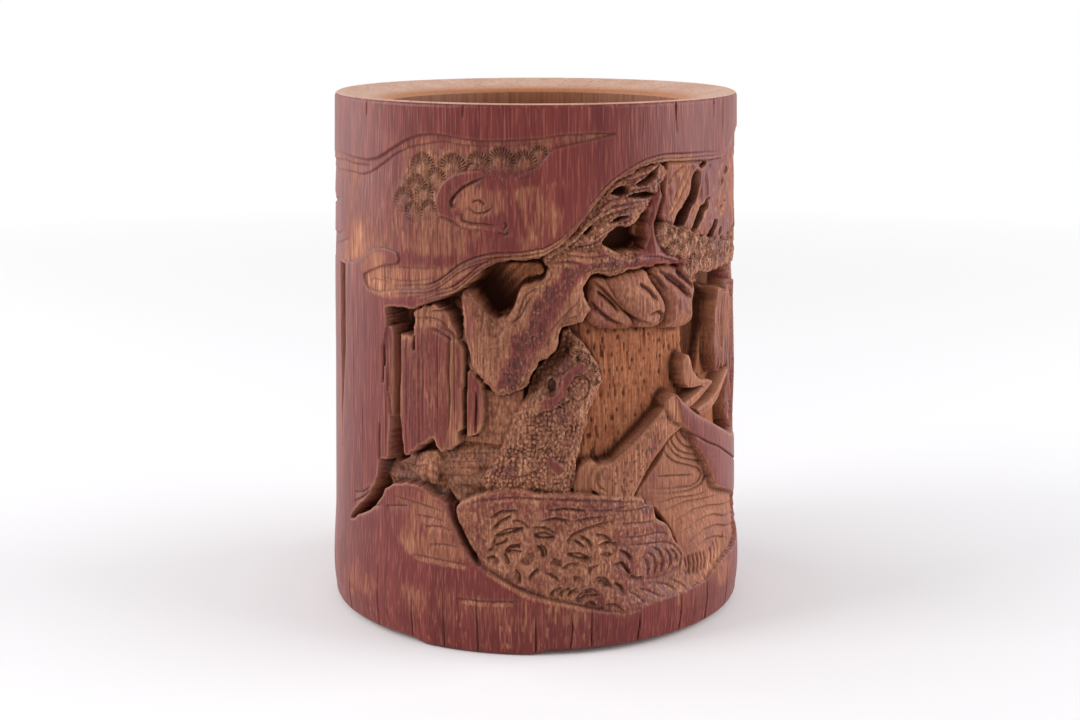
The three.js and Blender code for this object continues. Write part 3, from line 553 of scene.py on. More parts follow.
RIM_CRACKS = [(40.4, 9), (57, 6), (63, 12), (-19, 4), (-52, 5)]

# Where the red skin is scraped or worn: (outline, how bare)
WORN_AREAS = [
    ([(-55, 97), (-57, 103), (-50, 108.6), (-42, 108.6), (-40, 106), (-45, 104), (-30, 105), (-20, 106),
      (-15, 107), (-19, 103), (-28, 98.5), (-38, 95)], 0.62),
    ([(-42, 106), (-40, 112), (-30, 112), (-20, 110), (-22, 106.4), (-32, 105.6)], 0.1),
    ([(-13, 109), (-13, 126), (2, 127), (9, 121), (6, 114), (0, 110.6)], 0.34),
    ([(-38, 109), (-36, 118), (-26, 117), (-16, 115), (-8, 113), (-8, 109.6), (-20, 108)], 0.6),
    ([(-20.6, 125), (-18, 127.4), (-8, 127.6), (8, 131), (10, 128), (-2, 124), (-9, 120), (-18, 120)], 0.55),
    ([(-17, 127.6), (-13, 130.4), (-5, 131), (1, 133.6), (5, 138), (15, 137), (14, 131.6), (-4, 128)], 0.06),
    ([(-47, 37), (-44, 42), (-38, 45.4), (-30, 44.6), (-23, 40), (-19, 32), (-17, 26.6), (-24, 24.4),
      (-36, 25), (-42, 30)], 0.6),
    ([(-62, 31), (-60, 38), (-50, 44), (-47, 41), (-54, 34)], 0.62),
    ([(-27, 141), (-27, 149), (-25, 149), (-25, 141)], 0.3),
    ([(-60, 112), (-58, 124), (-44, 128), (-40, 118), (-46, 112)], 0.42),
    ([(-93, 104), (-93, 130), (-72, 130), (-66, 116), (-70, 104)], 0.08),
    ([(-66, 96), (-64, 102), (-56, 103.6), (-54, 96)], 0.2),
    ([(28, 105.6), (31, 112), (32, 119), (35, 126), (36.4, 122), (35, 110), (42, 106)], 0.08),
    ([(50, 122), (50, 131), (64, 131), (62, 124), (56, 120)], 0.15),
]


def srgb(red, green, blue):
    """A colour given in 0 to 255, as Blender's linear values."""
    values = (np.array([red, green, blue]) / 255.0) ** 2.2
    return (*values, 1.0)


def soft_step(value, low, high):
    """0 below low, 1 above high, with a smooth rise."""
    t = np.clip((value - low) / (high - low), 0, 1)
    return t * t * (3 - 2 * t)


def bell(value, width):
    """1 at 0, falling off smoothly over the width."""
    return np.exp(-((value / width) ** 2))


def placed(corners, level, turn):
    """Corners as they look at the skin, moved along the line of sight to their depth and unrolled."""
    angle, height = np.array(corners, float).T
    seen = np.radians(np.clip(angle, -LIMB, LIMB))
    across = LAYOUT_RADIUS * np.sin(seen)
    back = CAMERA_DISTANCE - LAYOUT_RADIUS * np.cos(seen)
    sight = np.arctan2(across, back)
    radius = LAYOUT_RADIUS - level
    reached = np.arcsin(np.clip(CAMERA_DISTANCE * np.sin(sight) / radius, -1, 1)) - sight
    shift = np.clip(np.degrees(reached - seen), -LARGEST_SHIFT, LARGEST_SHIFT)
    moved = angle + shift * (1 - soft_step(np.abs(angle), LIMB, FAR_SIDE))
    farther = np.hypot(radius * np.sin(reached), CAMERA_DISTANCE - radius * np.cos(reached))
    dropped = CAMERA_HEIGHT - (CAMERA_HEIGHT - height) * farther / np.hypot(across, back)
    return np.stack([np.radians(moved + turn) * LAYOUT_RADIUS, dropped], axis=1)


def smooth_curve(points, closed, roundness):
    """A curve through points; at roundness 0 its pieces are straight."""
    count = len(points)
    curve = []
    for index in range(count if closed else count - 1):
        if closed:
            around = [points[(index + offset) % count] for offset in (-1, 0, 1, 2)]
        else:
            around = [points[min(max(index + offset, 0), count - 1)] for offset in (-1, 0, 1, 2)]
        before, start, end, after = around
        leave = (1 - roundness) * (end - start) + roundness * (end - before) / 2
        arrive = (1 - roundness) * (end - start) + roundness * (after - start) / 2
        for t in np.linspace(0, 1, STEPS_PER_CORNER, endpoint=False):
            curve.append(
                (2 * t**3 - 3 * t**2 + 1) * start + (t**3 - 2 * t**2 + t) * leave
                + (3 * t**2 - 2 * t**3) * end + (t**3 - t**2) * arrive
            )
    if not closed:
        curve.append(points[-1])
    return np.array(curve)


def lattice_place(patch, wide, tall):
    """A patch's coordinates in cells of about the given size, which close round the culm."""
    around = round(CIRCUMFERENCE / wide)
    rows = math.ceil(HEIGHT / tall) + 3
    return patch.across / CIRCUMFERENCE * around, patch.up / tall + 1, around, rows


def noise(patch, wide, tall, seed):
    """Smooth noise between 0 and 1."""
    x, y, around, rows = lattice_place(patch, wide, tall)
    lattice = np.random.default_rng(seed).random((rows, around))
    low_x, low_y = np.floor(x).astype(int), np.floor(y).astype(int)
    x, y = x - low_x, y - low_y
    x, y = x * x * (3 - 2 * x), y * y * (3 - 2 * y)

    def corner(step_x, step_y):
        return lattice[(low_y + step_y) % rows, (low_x + step_x) % around]

    bottom = corner(0, 0) * (1 - x) + corner(1, 0) * x
    top = corner(0, 1) * (1 - x) + corner(1, 1) * x
    return bottom * (1 - y) + top * y


def pebbles(patch, wide, tall, seed):
    """Rounded pebbles: how domed each is, from 0 to 1, and the grooves between them."""
    x, y, around, rows = lattice_place(patch, wide, tall)
    jitter = np.random.default_rng(seed).random((rows, around, 2)) * 0.9 + 0.05
    low_x, low_y = np.floor(x).astype(int), np.floor(y).astype(int)
    first = np.full(x.shape, 9.0)
    second = np.full(x.shape, 9.0)
    for step_y in (-1, 0, 1):
        for step_x in (-1, 0, 1):
            cell_x, cell_y = low_x + step_x, low_y + step_y
            centre = jitter[cell_y % rows, cell_x % around]
            away = np.hypot(cell_x + centre[..., 0] - x, cell_y + centre[..., 1] - y)
            second = np.minimum(second, np.maximum(first, away))
            first = np.minimum(first, away)
    return np.clip(1 - first, 0, 1), bell(second - first, 0.2)


class Patch:
    """A window of the unrolled wall round some points."""

    def __init__(self, wall, points, margin):
        low, high = points.min(axis=0) - margin, points.max(axis=0) + margin
        columns = np.arange(int(low[0] // STEP_ARC), int(high[0] // STEP_ARC) + 2)
        bottom, top = np.searchsorted(wall.heights, [low[1], high[1]])
        self.where = np.ix_(np.arange(bottom, top), columns % RING_STEPS)
        self.across, self.up = np.meshgrid(columns * STEP_ARC, wall.heights[bottom:top])

    def near_piece(self, ax, ay, dx, dy):
        """The squared distance to a straight piece, and the share of it where it is nearest."""
        share = ((self.across - ax) * dx + (self.up - ay) * dy) / (dx * dx + dy * dy + TINY)
        share = np.clip(share, 0, 1)
        return (self.across - ax - share * dx) ** 2 + (self.up - ay - share * dy) ** 2, share

    def inward(self, points):
        """How far inside a closed curve each place lies; outside it is negative."""
        nearest = np.full(self.across.shape, np.inf)
        inside = np.zeros(self.across.shape, bool)
        for (ax, ay), (bx, by) in zip(points, np.roll(points, -1, axis=0)):
            dx, dy = bx - ax, by - ay
            gap, _ = self.near_piece(ax, ay, dx, dy)
            nearest = np.minimum(nearest, gap)
            if ay != by:
                crosses = (ay > self.up) != (by > self.up)
                inside ^= crosses & (self.across < ax + (self.up - ay) * dx / dy)
        return np.where(inside, 1, -1) * np.sqrt(nearest)

    def follow(self, points):
        """How far each place lies from an open curve, positive on its right, and a taper to its ends."""
        nearest = np.full(self.across.shape, np.inf)
        side = np.zeros(self.across.shape)
        along = np.zeros(self.across.shape)
        for index, ((ax, ay), (bx, by)) in enumerate(zip(points, points[1:])):
            dx, dy = bx - ax, by - ay
            gap, share = self.near_piece(ax, ay, dx, dy)
            closer = gap < nearest
            nearest = np.where(closer, gap, nearest)
            side = np.where(closer, dy * (self.across - ax) - dx * (self.up - ay), side)
            along = np.where(closer, index + share, along)
        along = along / (len(points) - 1)
        taper = np.clip(6 * along * (1 - along), 0, 1) ** 0.6
        return np.where(side > 0, 1, -1) * np.sqrt(nearest), taper


class Wall:
    """The wall's outside, unrolled: its depth below the skin, its bareness, its dark marks with painted
    shade, and its mottling with painted glints.
    """

    def __init__(self):
        self.heights = np.linspace(EDGE, HEIGHT - EDGE, HEIGHT_STEPS)
        shape = (HEIGHT_STEPS, RING_STEPS)
        self.depth = np.zeros(shape)
        self.bare = np.full(shape, POLISHED)
        # Dark marks of the wood, and painted shade in cuts, creases and hollows
        self.mark = np.zeros(shape)
        # How strongly the surface is mottled with dark spots and painted glints
        self.rough = np.zeros(shape)
        self.turn = 0
        self.level = 0.0  # the depth that the fine carving is laid out at
        self.seed = 0

    def whole(self):
        """A patch of the whole wall."""
        return Patch(self, np.array([[0.0, 0.0], [CIRCUMFERENCE - 1.5 * STEP_ARC, HEIGHT]]), 0)

    def angle(self, patch):
        """The angle of each place, counted from the middle of the side that is carved."""
        return np.degrees(patch.across / LAYOUT_RADIUS) - self.turn

    def curve(self, line):
        """A line as a smooth open curve at the level of the fine carving."""
        return smooth_curve(placed(line, self.level, self.turn), False, ROUND)

    def area(self, corners, level, roundness=ROUND, ragged=0.0, grain=(2.0, 3.5)):
        """A patch round an outline, and how far inside it each place lies."""
        points = smooth_curve(placed(corners, level, self.turn), True, roundness)
        patch = Patch(self, points, 2.0)
        inward = patch.inward(points)
        self.seed += 1
        if ragged:
            wander = noise(patch, *grain, self.seed)
            wander += 0.5 * noise(patch, grain[0] / 3, grain[1] / 3, self.seed)
            inward += ragged * (wander - 0.75) * 2
        return patch, inward

    def paint(self, patch, weight, bare):
        """Sets how bare the surface is."""
        before = self.bare[patch.where]
        self.bare[patch.where] = before + weight * (bare - before)

    def add(self, patch, pattern):
        """Deepens the surface by a pattern."""
        self.depth[patch.where] += pattern

    def darken(self, patch, pattern):
        """Adds dark marks and painted shade."""
        self.mark[patch.where] = np.maximum(self.mark[patch.where], pattern)

    def mottle_and_glint(self, patch, weight, rough):
        """Sets how strongly the surface is mottled with dark spots and painted glints."""
        before = self.rough[patch.where]
        self.rough[patch.where] = before + weight * (rough - before)

    def cut(self, corners, depth, bare=BARE, wall=0.5, dark=0.0, **shape):
        """Hollows the ground out inside an outline; its dark is painted shade."""
        patch, inward = self.area(corners, self.level, **shape)
        weight = soft_step(inward, -wall / 2, wall / 2)
        ground = self.depth[patch.where]
        self.depth[patch.where] = ground + weight * np.maximum(depth - ground, 0)
        self.paint(patch, weight, bare)
        self.darken(patch, dark * weight)
        return patch, inward

    def lift(self, corners, edge, middle, bare, wall=0.4, rounding=1.2, worn=0.0, rough=0.1, **shape):
        """Leaves a raised form standing inside an outline, with a rounded shoulder."""
        patch, inward = self.area(corners, edge, **shape)
        weight = soft_step(inward, -wall / 2, wall / 2)
        level = edge + (middle - edge) * (1 - np.exp(-np.maximum(inward, 0) / rounding))
        ground = self.depth[patch.where]
        on_top = weight * soft_step(ground - level, -0.05, 0.2)
        self.depth[patch.where] = ground + weight * (np.minimum(ground, level) - ground)
        shoulder = worn * (1 - soft_step(inward, 0.3, 0.9))
        self.paint(patch, on_top, bare + (1 - bare) * shoulder)
        self.mottle_and_glint(patch, on_top, rough)
        before = self.mark[patch.where]
        self.mark[patch.where] = before * (1 - on_top)
        self.level = middle
        return patch, inward, on_top

    def sink(self, corners, depth, dark):
        """Presses the surface in inside an outline by a further depth; its dark is painted shade."""
        patch, inward = self.area(corners, self.level)
        weight = soft_step(inward, -0.2, 0.35)
        self.add(patch, depth * weight)
        self.darken(patch, dark * weight)

    def incise(self, line, width, depth, dark=0.0):
        """Cuts a fine line along an open curve, with its dark as painted shade; a negative depth raises a
        ridge.
        """
        points = self.curve(line)
        patch = Patch(self, points, 3 * width)
        away, taper = patch.follow(points)
        shape = bell(away, width) * taper
        self.add(patch, depth * shape)
        self.darken(patch, dark * shape)

    def fold(self, line, depth, reach, dark=0.4, bare=0.0):
        """Cuts the surface down on the right of an open curve, from where it rises again, with painted shade
        along the crease.
        """
        points = self.curve(line)
        patch = Patch(self, points, 3 * reach + 1)
        away, taper = patch.follow(points)
        fall = soft_step(away, -0.25, 0.15) * np.exp(-np.maximum(away, 0) / reach) * taper
        self.add(patch, depth * fall)
        self.darken(patch, dark * bell(away - 0.08, 0.24) * taper)
        if bare:
            lip = bell(away - 1.0, 0.9) * taper
            self.bare[patch.where] = np.maximum(self.bare[patch.where], bare * lip)

    def folds(self, lines, **cut):
        """Cuts the same fold along each of some lines."""
        for line in lines:
            self.fold(line, **cut)

    def split(self, angle, low, high, width, depth, dark=0.85):
        """A narrow upright split that tapers to its ends, darkened with painted shade."""
        points = placed([(angle, low), (angle, high)], self.level, self.turn)
        patch = Patch(self, points, 4 * width + 0.5)
        self.seed += 1
        drift = (noise(patch, 60, 7, self.seed) - 0.5) * 0.6
        along = (patch.up - points[0, 1]) / (points[1, 1] - points[0, 1])
        taper = np.sqrt(np.clip(4 * along * (1 - along), 0, 1))
        shape = bell(patch.across + drift - points[0, 0], width) * taper
        self.add(patch, depth * shape)
        self.darken(patch, dark * shape * min(4 * depth, 1))


def needle_fan(wall, angle, height, radius, depth):
    """A cluster of pine needles cut as rays, clearest along its upper rim."""
    centre = placed([(angle, height)], wall.level, wall.turn)
    patch = Patch(wall, centre, radius + 0.8)
    x, y = patch.across - centre[0, 0], patch.up - centre[0, 1]
    away = np.hypot(x, y)
    direction = np.arctan2(y, x)
    count = round(math.tau * radius / NEEDLE_GAP)
    rays = 0.5 + 0.5 * np.cos(direction * count + 0.8 * np.sin(away * 1.9 + angle))
    outer = soft_step(away / radius, 0.2, 0.65) * soft_step(radius - away, -0.1, 0.25)
    upper = 0.35 + 0.65 * soft_step(y / radius, -0.4, 0.3)
    wall.add(patch, depth * rays * outer * upper)
    # Painted shade in the cut rays and along the rim of the fan
    wall.darken(patch, 0.9 * rays**1.5 * outer * upper)
    above = bell(away - radius - 0.15, 0.25) * upper
    wall.darken(patch, 0.5 * above)


def rosette(wall, angle, height, radius):
    """A domed cluster of pine needles that stands over its neighbours."""
    centre = placed([(angle, height)], wall.level, wall.turn)
    patch = Patch(wall, centre, radius + 0.8)
    away = np.hypot(patch.across - centre[0, 0], patch.up - centre[0, 1])
    weight = soft_step(radius - away, 0, 0.5)
    face = 0.7 + 0.6 * (away / radius) ** 2
    ground = wall.depth[patch.where]
    wall.depth[patch.where] = ground + weight * (face - ground)
    wall.mottle_and_glint(patch, weight, 1.0)
    needle_fan(wall, angle, height, radius, depth=0.5)


def moved_up(line, rise):
    """A line moved up, or down where the rise is negative."""
    return [(angle, height + rise) for angle, height in line]


def round_off(wall, patch, inward, on_top, depth, reach):
    """Deepens a raised form towards its outline."""
    wall.add(patch, depth * on_top * np.exp(-np.maximum(inward, 0) / reach))


def bark(wall, patch, weight, wide, tall, depth, seed):
    """Small rough scales of bark."""
    dome, groove = pebbles(patch, wide, tall, seed)
    coarse = noise(patch, 3 * wide, 2.4 * tall, seed + 1)
    fine = noise(patch, 0.5, 0.6, seed + 2)
    strength = weight * (0.3 + 1.2 * coarse)
    wall.add(patch, depth * (0.8 * groove - 0.4 * dome + 0.7 * fine + coarse - 0.7) * strength)
    # Painted shade in the grooves between the scales
    wall.darken(patch, 0.6 * groove * fine * strength)
    wall.mottle_and_glint(patch, weight, 1.0)


def carve_sky(wall):
    """The scraped sky with its branch, pine needles and cloud lines."""
    wall.level = 0.5
    patch, inward = wall.area(SKY, 0)
    angle = wall.angle(patch)
    eased = soft_step(angle, -18, -2) * (1 - soft_step(patch.up, 128, 132))
    limb = 1 - 0.8 * soft_step(-angle, 50, 68)
    weight = soft_step(inward, -0.3, 0.2) * (1 - eased) * limb
    ground = wall.depth[patch.where]
    wall.depth[patch.where] = ground + weight * np.maximum(SKY_DEPTH - ground, 0)
    wall.paint(patch, soft_step(inward, -0.3, 0.2) * (1 - eased), 0.52)
    # Painted shade along the sky's cut edge
    edge = bell(inward - 0.1, 0.3) * limb * (1 - eased)
    wall.darken(patch, 0.45 * edge)
    wall.folds(SKY_LINES, depth=0.3, reach=6.0, dark=0.45)
    for layer in range(3):
        strokes = noise(patch, 0.7, 1.6 + layer, 21 + layer)
        band = bell(patch.up - 116, 5) * soft_step(-angle, 2, 10) * soft_step(angle, -52, -44)
        wall.darken(patch, 0.35 * soft_step(strokes, 0.72, 0.85) * band * soft_step(inward, 0, 1))
    zone, inside = wall.area(NEEDLE_ZONE, 0)
    clustered = soft_step(inside, -1, 2.5)
    wall.mottle_and_glint(zone, clustered, 0.7)
    wall.paint(zone, clustered, 0.75)
    wall.darken(zone, clustered * (0.2 + 0.3 * noise(zone, 2.5, 2.5, 24)))
    for fan in SKY_FANS:
        needle_fan(wall, *fan, depth=0.6)
    wall.lift(BRANCH, edge=0.3, middle=0.1, bare=0.1, wall=0.4, rounding=0.4, worn=0.3)
    wall.folds(BRANCH_LINES, depth=0.7, reach=0.5, dark=0.8, bare=0.6)
    wall.folds(MIST_LINES, depth=0.22, reach=1.6, dark=0.3)


def carve_cloud_edge(wall):
    """Stepped lines that follow the edge of the clouds above the scene."""
    wall.level = 0.0
    for line in CLOUD_EDGE_LINES:
        for rise in CLOUD_STEPS:
            wall.fold(moved_up(line, rise), depth=0.4, reach=0.6, dark=0.75, bare=0.8)


def carve_ground(wall):
    """The hollowed ground of the scene, with the dashes of its cut fibre bundles."""
    wall.level = 0.0
    patch, inward = wall.cut(SCENE, SCENE_DEPTH, wall=0.5, ragged=0.3, grain=(1.6, 5))
    inside = soft_step(inward, 0, 1)
    wall.mottle_and_glint(patch, inside, 0.3)
    wall.add(patch, 0.3 * noise(patch, 0.9, 7, 31) * inside)
    dashes = soft_step(noise(patch, 0.62, 2.2, 32), 0.74, 0.9) * inside
    wall.add(patch, 0.3 * dashes)
    wall.darken(patch, 0.8 * dashes)


def carve_cliffs(wall):
    """Upright slabs, splits and ledges at the left of the scene."""
    wall.lift(CLIFF_BACK, edge=4.6, middle=4.2, bare=0.95, rough=0.7)
    patch, _, on_top = wall.lift(LEDGES, edge=3.8, middle=3.0, bare=0.9, rough=0.9, ragged=0.4)
    wall.darken(patch, 0.75 * noise(patch, 4, 3, 45) * on_top)
    wall.add(patch, (0.7 * noise(patch, 9, 1.2, 41) + 0.5 * noise(patch, 3, 5, 46)) * on_top)
    patch, _, on_top = wall.lift(
        LEDGE_BLOCK, edge=2.8, middle=2.2, bare=0.9, wall=0.5, rounding=0.6, rough=0.9,
        ragged=0.5, grain=(1.5, 6),
    )
    wall.add(patch, noise(patch, 1.8, 7, 43) * on_top)
    wall.folds(LEDGE_LINES, depth=0.6, reach=1.1, dark=0.4)
    wall.lift(LEFT_STRIP, edge=0.8, middle=0.5, bare=0.35, wall=0.5, rounding=0.8, roundness=SHARP)
    patch, _, on_top = wall.lift(
        MAIN_SLAB, edge=0.7, middle=0.4, bare=0.38, wall=0.35, rounding=0.5, worn=0.5,
        roundness=SHARP, ragged=0.25, grain=(1.2, 5),
    )
    wall.add(patch, 0.22 * soft_step(noise(patch, 1.1, 60, 42), 0.6, 0.8) * on_top)
    bands = 0
    for angle, width in SLAB_BANDS:
        centre = placed([(angle, SLAB_MIDDLE)], SLAB_LEVEL, wall.turn)[0, 0]
        bands = bands + bell(patch.across - centre, width)
    top = soft_step(patch.up, 88, 90.5)
    wall.paint(patch, np.clip(bands + top, 0, 1) * on_top, 0.85)
    wall.add(patch, 0.4 * np.clip(bands, 0, 1) * on_top)
    wall.add(patch, 0.8 * top * noise(patch, 1.5, 2.5, 44) * on_top)
    wall.lift(
        THIRD_STRIP, edge=1.8, middle=1.4, bare=0.4, wall=0.4, rounding=0.6, worn=0.5,
        roundness=SHARP, ragged=0.25,
    )
    wall.level = SLAB_LEVEL
    wall.cut(CLIFF_HOLE, HOLE_DEPTH, wall=0.6, dark=0.8, ragged=0.3)
    wall.cut(DARK_CORNER, CORNER_DEPTH, wall=0.6, dark=0.6, ragged=0.5)
    for split in CLIFF_SPLITS:
        wall.split(*split)
    wall.folds(CLIFF_LINES, depth=0.9, reach=0.8, dark=0.8, bare=0.8)
    wall.level = 0.0
    wall.folds(MOUND_LINES, depth=0.55, reach=1.3, dark=0.5, bare=0.7)


def carve_arm(wall):
    """The pine's knotty arm."""
    patch, inward, on_top = wall.lift(
        PINE_ARM, edge=1.5, middle=0.4, bare=0.4, wall=0.5, rounding=1.6, worn=0.8,
        ragged=0.4, grain=(2.5, 2.5),
    )
    angle = wall.angle(patch)
    smooth = soft_step(angle, 27, 30)
    rough = on_top * (1 - smooth)
    wander = 3.2 * (noise(patch, 3, 4, 55) - 0.5) + 1.2 * (noise(patch, 0.9, 1.1, 56) - 0.5)
    border = 1 - soft_step(inward + wander, 0.8, 2.2)
    round_off(wall, patch, inward, on_top, depth=1.5, reach=1.3)
    away, _ = patch.follow(wall.curve(ARM_BAND))
    pitted = 1 - soft_step(np.abs(away) + 1.5 * wander, 0.8, 3.8)
    left_branch = soft_step(-angle, 14, 16.5) * soft_step(patch.up, 83, 88)
    red = np.maximum((1 - soft_step(np.abs(away) + wander, 1.8, 5.4)) * (1 - border), 0.75 * left_branch)
    scaly = np.clip(0.45 * border + 0.8 * pitted + 0.35 * (1 - red), 0, 1)
    bark(wall, patch, rough * soft_step(inward, 0, 0.8) * scaly, wide=0.8, tall=1.3, depth=0.45, seed=51)
    wall.mottle_and_glint(patch, rough, 0.7 * scaly)
    wall.darken(patch, 0.6 * rough * pitted * soft_step(noise(patch, 0.8, 1.0, 57), 0.45, 0.8))
    wall.paint(patch, rough, 0.85 - 0.62 * red)
    wall.paint(patch, on_top * smooth, 0.08)
    wall.folds(ARM_LINES, depth=0.6, reach=0.7, dark=0.6, bare=0.7)
    wall.sink(ARM_DISH, depth=0.9, dark=0.0)


def carve_holes(wall):
    """The cave with its ridged far wall, the hollow, the side recess and the notch."""
    wall.level = 1.0
    patch, inward = wall.cut(CAVE, CAVE_DEPTH, wall=0.7, ragged=0.3)
    angle = wall.angle(patch)
    inside = soft_step(inward, 0, 1.2)
    near = 1 - soft_step(angle + 0.8 * (patch.up - 98), -14, 2)
    ridges = 0.5 + 0.5 * np.sin((patch.up * 0.8 - patch.across * 0.75) * 2.2)
    slope = soft_step(angle + 0.8 * (patch.up - 98), -8, 12)
    wall.add(patch, inside * (3.0 * near + 0.8 * ridges * (1 - near) - 3.4 * slope))
    # Painted shade over the cave's deeper near side
    wall.darken(patch, 0.9 * inside * near)
    wall.cut(HOLLOW, HOLE_DEPTH, wall=0.7, dark=0.8, ragged=0.3)
    wall.level = 2.0
    patch, inward = wall.cut(SIDE_RECESS, HOLE_DEPTH, wall=0.8, ragged=0.3)
    wall.add(patch, -0.8 * noise(patch, 1.6, 30, 61) * soft_step(inward, 0, 1))
    # Painted shade over the recess, from its edge inwards
    wall.darken(patch, 0.3 * soft_step(inward, -0.8, 0))
    wall.level = 0.0
    wall.cut(NOTCH, NOTCH_DEPTH, wall=1.0, ragged=0.5)


def carve_trunk(wall):
    """The trunk with its scaly bark, its hollow knots and red bands."""
    patch, inward, on_top = wall.lift(
        PINE_TRUNK, edge=2.8, middle=1.2, bare=0.7, wall=0.6, rounding=2.8, worn=0.6,
        ragged=0.4, grain=(3, 3),
    )
    round_off(wall, patch, inward, on_top, depth=1.2, reach=1.4)
    bark(wall, patch, on_top * soft_step(inward, 0, 0.8), wide=1.15, tall=1.25, depth=0.6, seed=71)
    patches = soft_step(noise(patch, 3.5, 3.0, 73), 0.45, 0.8)
    wall.paint(patch, on_top, 0.95 - 0.3 * patches)
    # A painted shadow under the arm, over a shallow groove
    wall.incise(ARM_SHADOW, width=2.2, depth=0.8, dark=0.95)
    wall.folds(TRUNK_FOLDS, depth=0.8, reach=0.8, dark=0.6)
    patch, _, on_top = wall.lift(
        KNOB, edge=1.5, middle=0.9, bare=BARE, wall=0.5, rounding=1.0, ragged=0.5, grain=(1.5, 1.5),
    )
    bark(wall, patch, on_top, wide=0.8, tall=0.7, depth=0.9, seed=75)
    # Strong painted glints make the knob pale, over dark mottling
    wall.mottle_and_glint(patch, on_top, 1.7)
    for line in TRUNK_BANDS:
        points = wall.curve(line)
        band = Patch(wall, points, 4.0)
        away, taper = band.follow(points)
        core = (1 - soft_step(np.abs(away), 0.9, 1.6)) * taper
        raised = wall.depth[band.where]
        wall.depth[band.where] = raised + core * (0.9 - raised)
        wall.paint(band, core, 0.1)
        wall.mottle_and_glint(band, core, 0.1)
    wall.sink(KNOT_RIM, depth=0.9, dark=0.25)
    wall.sink(KNOT_HOLE, depth=1.6, dark=0.6)
    wall.incise(TRUNK_RING, width=0.7, depth=-0.9)


def carve_boulders(wall):
    """Rounded boulders under the arm, with deep folds."""
    for outline, edge, middle in BOULDERS:
        patch, inward, on_top = wall.lift(
            outline, edge, middle, bare=0.6, wall=0.6, rounding=2.2, rough=0.35, ragged=0.2,
        )
        wall.add(patch, 0.3 * noise(patch, 0.6, 3, 81) * on_top)
        round_off(wall, patch, inward, on_top, depth=1.3, reach=1.2)
    wall.level = 2.0
    wall.folds(BOULDER_FOLDS, depth=1.8, reach=1.2, dark=0.6)


def carve_upper_right(wall):
    """Twigs, hanging rock and pine needle masses under the clouds at the right."""
    patch, _, on_top = wall.lift(
        UPPER_TWIGS, edge=1.9, middle=1.2, bare=0.8, wall=0.5, rounding=1.2, ragged=0.5,
    )
    bark(wall, patch, on_top, wide=1.6, tall=1.0, depth=0.28, seed=91)
    wall.paint(patch, on_top * soft_step(noise(patch, 5, 4, 94), 0.45, 0.7), 0.4)
    wall.level = 1.2
    for line in TWIG_LINES:
        wall.incise(line, width=0.8, depth=-0.9)
        # A dark groove under each twig, as painted shadow
        wall.incise(moved_up(line, -1.2), width=0.28, depth=0.5, dark=0.6)
    for pocket in TWIG_POCKETS:
        wall.cut(pocket, TWIG_POCKET_DEPTH, wall=0.4, dark=0.5)
    patch, _, on_top = wall.lift(
        HANGING_ROCK, edge=1.3, middle=0.8, bare=0.45, wall=0.5, rounding=1.0, ragged=0.3, grain=(1.5, 6),
    )
    wall.add(patch, 0.5 * noise(patch, 1.4, 5, 92) * on_top)
    wall.level = 0.9
    wall.folds(HANGING_LINES, depth=1.0, reach=1.1, dark=0.7, bare=BARE)
    for gap in ROCK_GAPS:
        patch, inward = wall.cut(gap, ROCK_GAP_DEPTH, wall=0.5, dark=0.2, ragged=0.2)
        # Painted shade in the gap, darker towards its bottom
        bottom = 1 - (patch.up - patch.up.min()) / np.ptp(patch.up)
        wall.darken(patch, soft_step(inward, -0.6, 0) * (0.5 + 0.5 * soft_step(bottom, 0.2, 0.6)))
    for pocket in ROCK_POCKETS:
        wall.cut(pocket, ROCK_POCKET_DEPTH, wall=0.4, dark=0.4)
    patch, _, on_top = wall.lift(
        FOLIAGE, edge=1.2, middle=0.7, bare=0.8, wall=0.5, rounding=1.2, rough=1.0, ragged=0.5,
    )
    wall.add(patch, 0.7 * noise(patch, 2.2, 1.2, 95) * on_top)
    for cluster in ROSETTES:
        rosette(wall, *cluster)
    bark(wall, patch, on_top, wide=0.8, tall=0.8, depth=0.2, seed=97)
    # Painted glints on the needle masses, over dark mottling
    wall.mottle_and_glint(patch, on_top, 1.2)
    for outline, edge, middle in SIDE_ROCKS:
        patch, _, on_top = wall.lift(
            outline, edge, middle, bare=0.4, wall=0.5, rounding=0.9, ragged=0.4, grain=(1.5, 7),
        )
        lumps = noise(patch, 3.2, 5.5, 98)
        seams = soft_step(noise(patch, 1.2, 20, 93), 0.5, 0.75)
        wall.add(patch, (1.5 * lumps + 0.5 * seams) * on_top)
        # Painted shade where the lumps sink deepest
        wall.darken(patch, 0.4 * soft_step(lumps, 0.6, 0.9) * on_top)


def carve_water(wall):
    """The whirl beside the plank and the waves that sweep on below it."""
    patch, _, on_top = wall.lift(WATER, edge=3.2, middle=2.7, bare=0.8, wall=0.8, rounding=3.0)
    angle = wall.angle(patch)
    shallow = soft_step(40 - patch.up, 0, 14) * soft_step(angle, 38, 52)
    wall.add(patch, (0.2 * noise(patch, 0.6, 4, 101) - 1.5 * shallow) * on_top)
    wall.level = 2.8
    wall.folds(WHIRL_LINES, depth=0.7, reach=0.9, dark=0.75)
    wall.level = 1.6
    wall.folds(WAVE_LINES, depth=0.8, reach=1.8, dark=0.45)


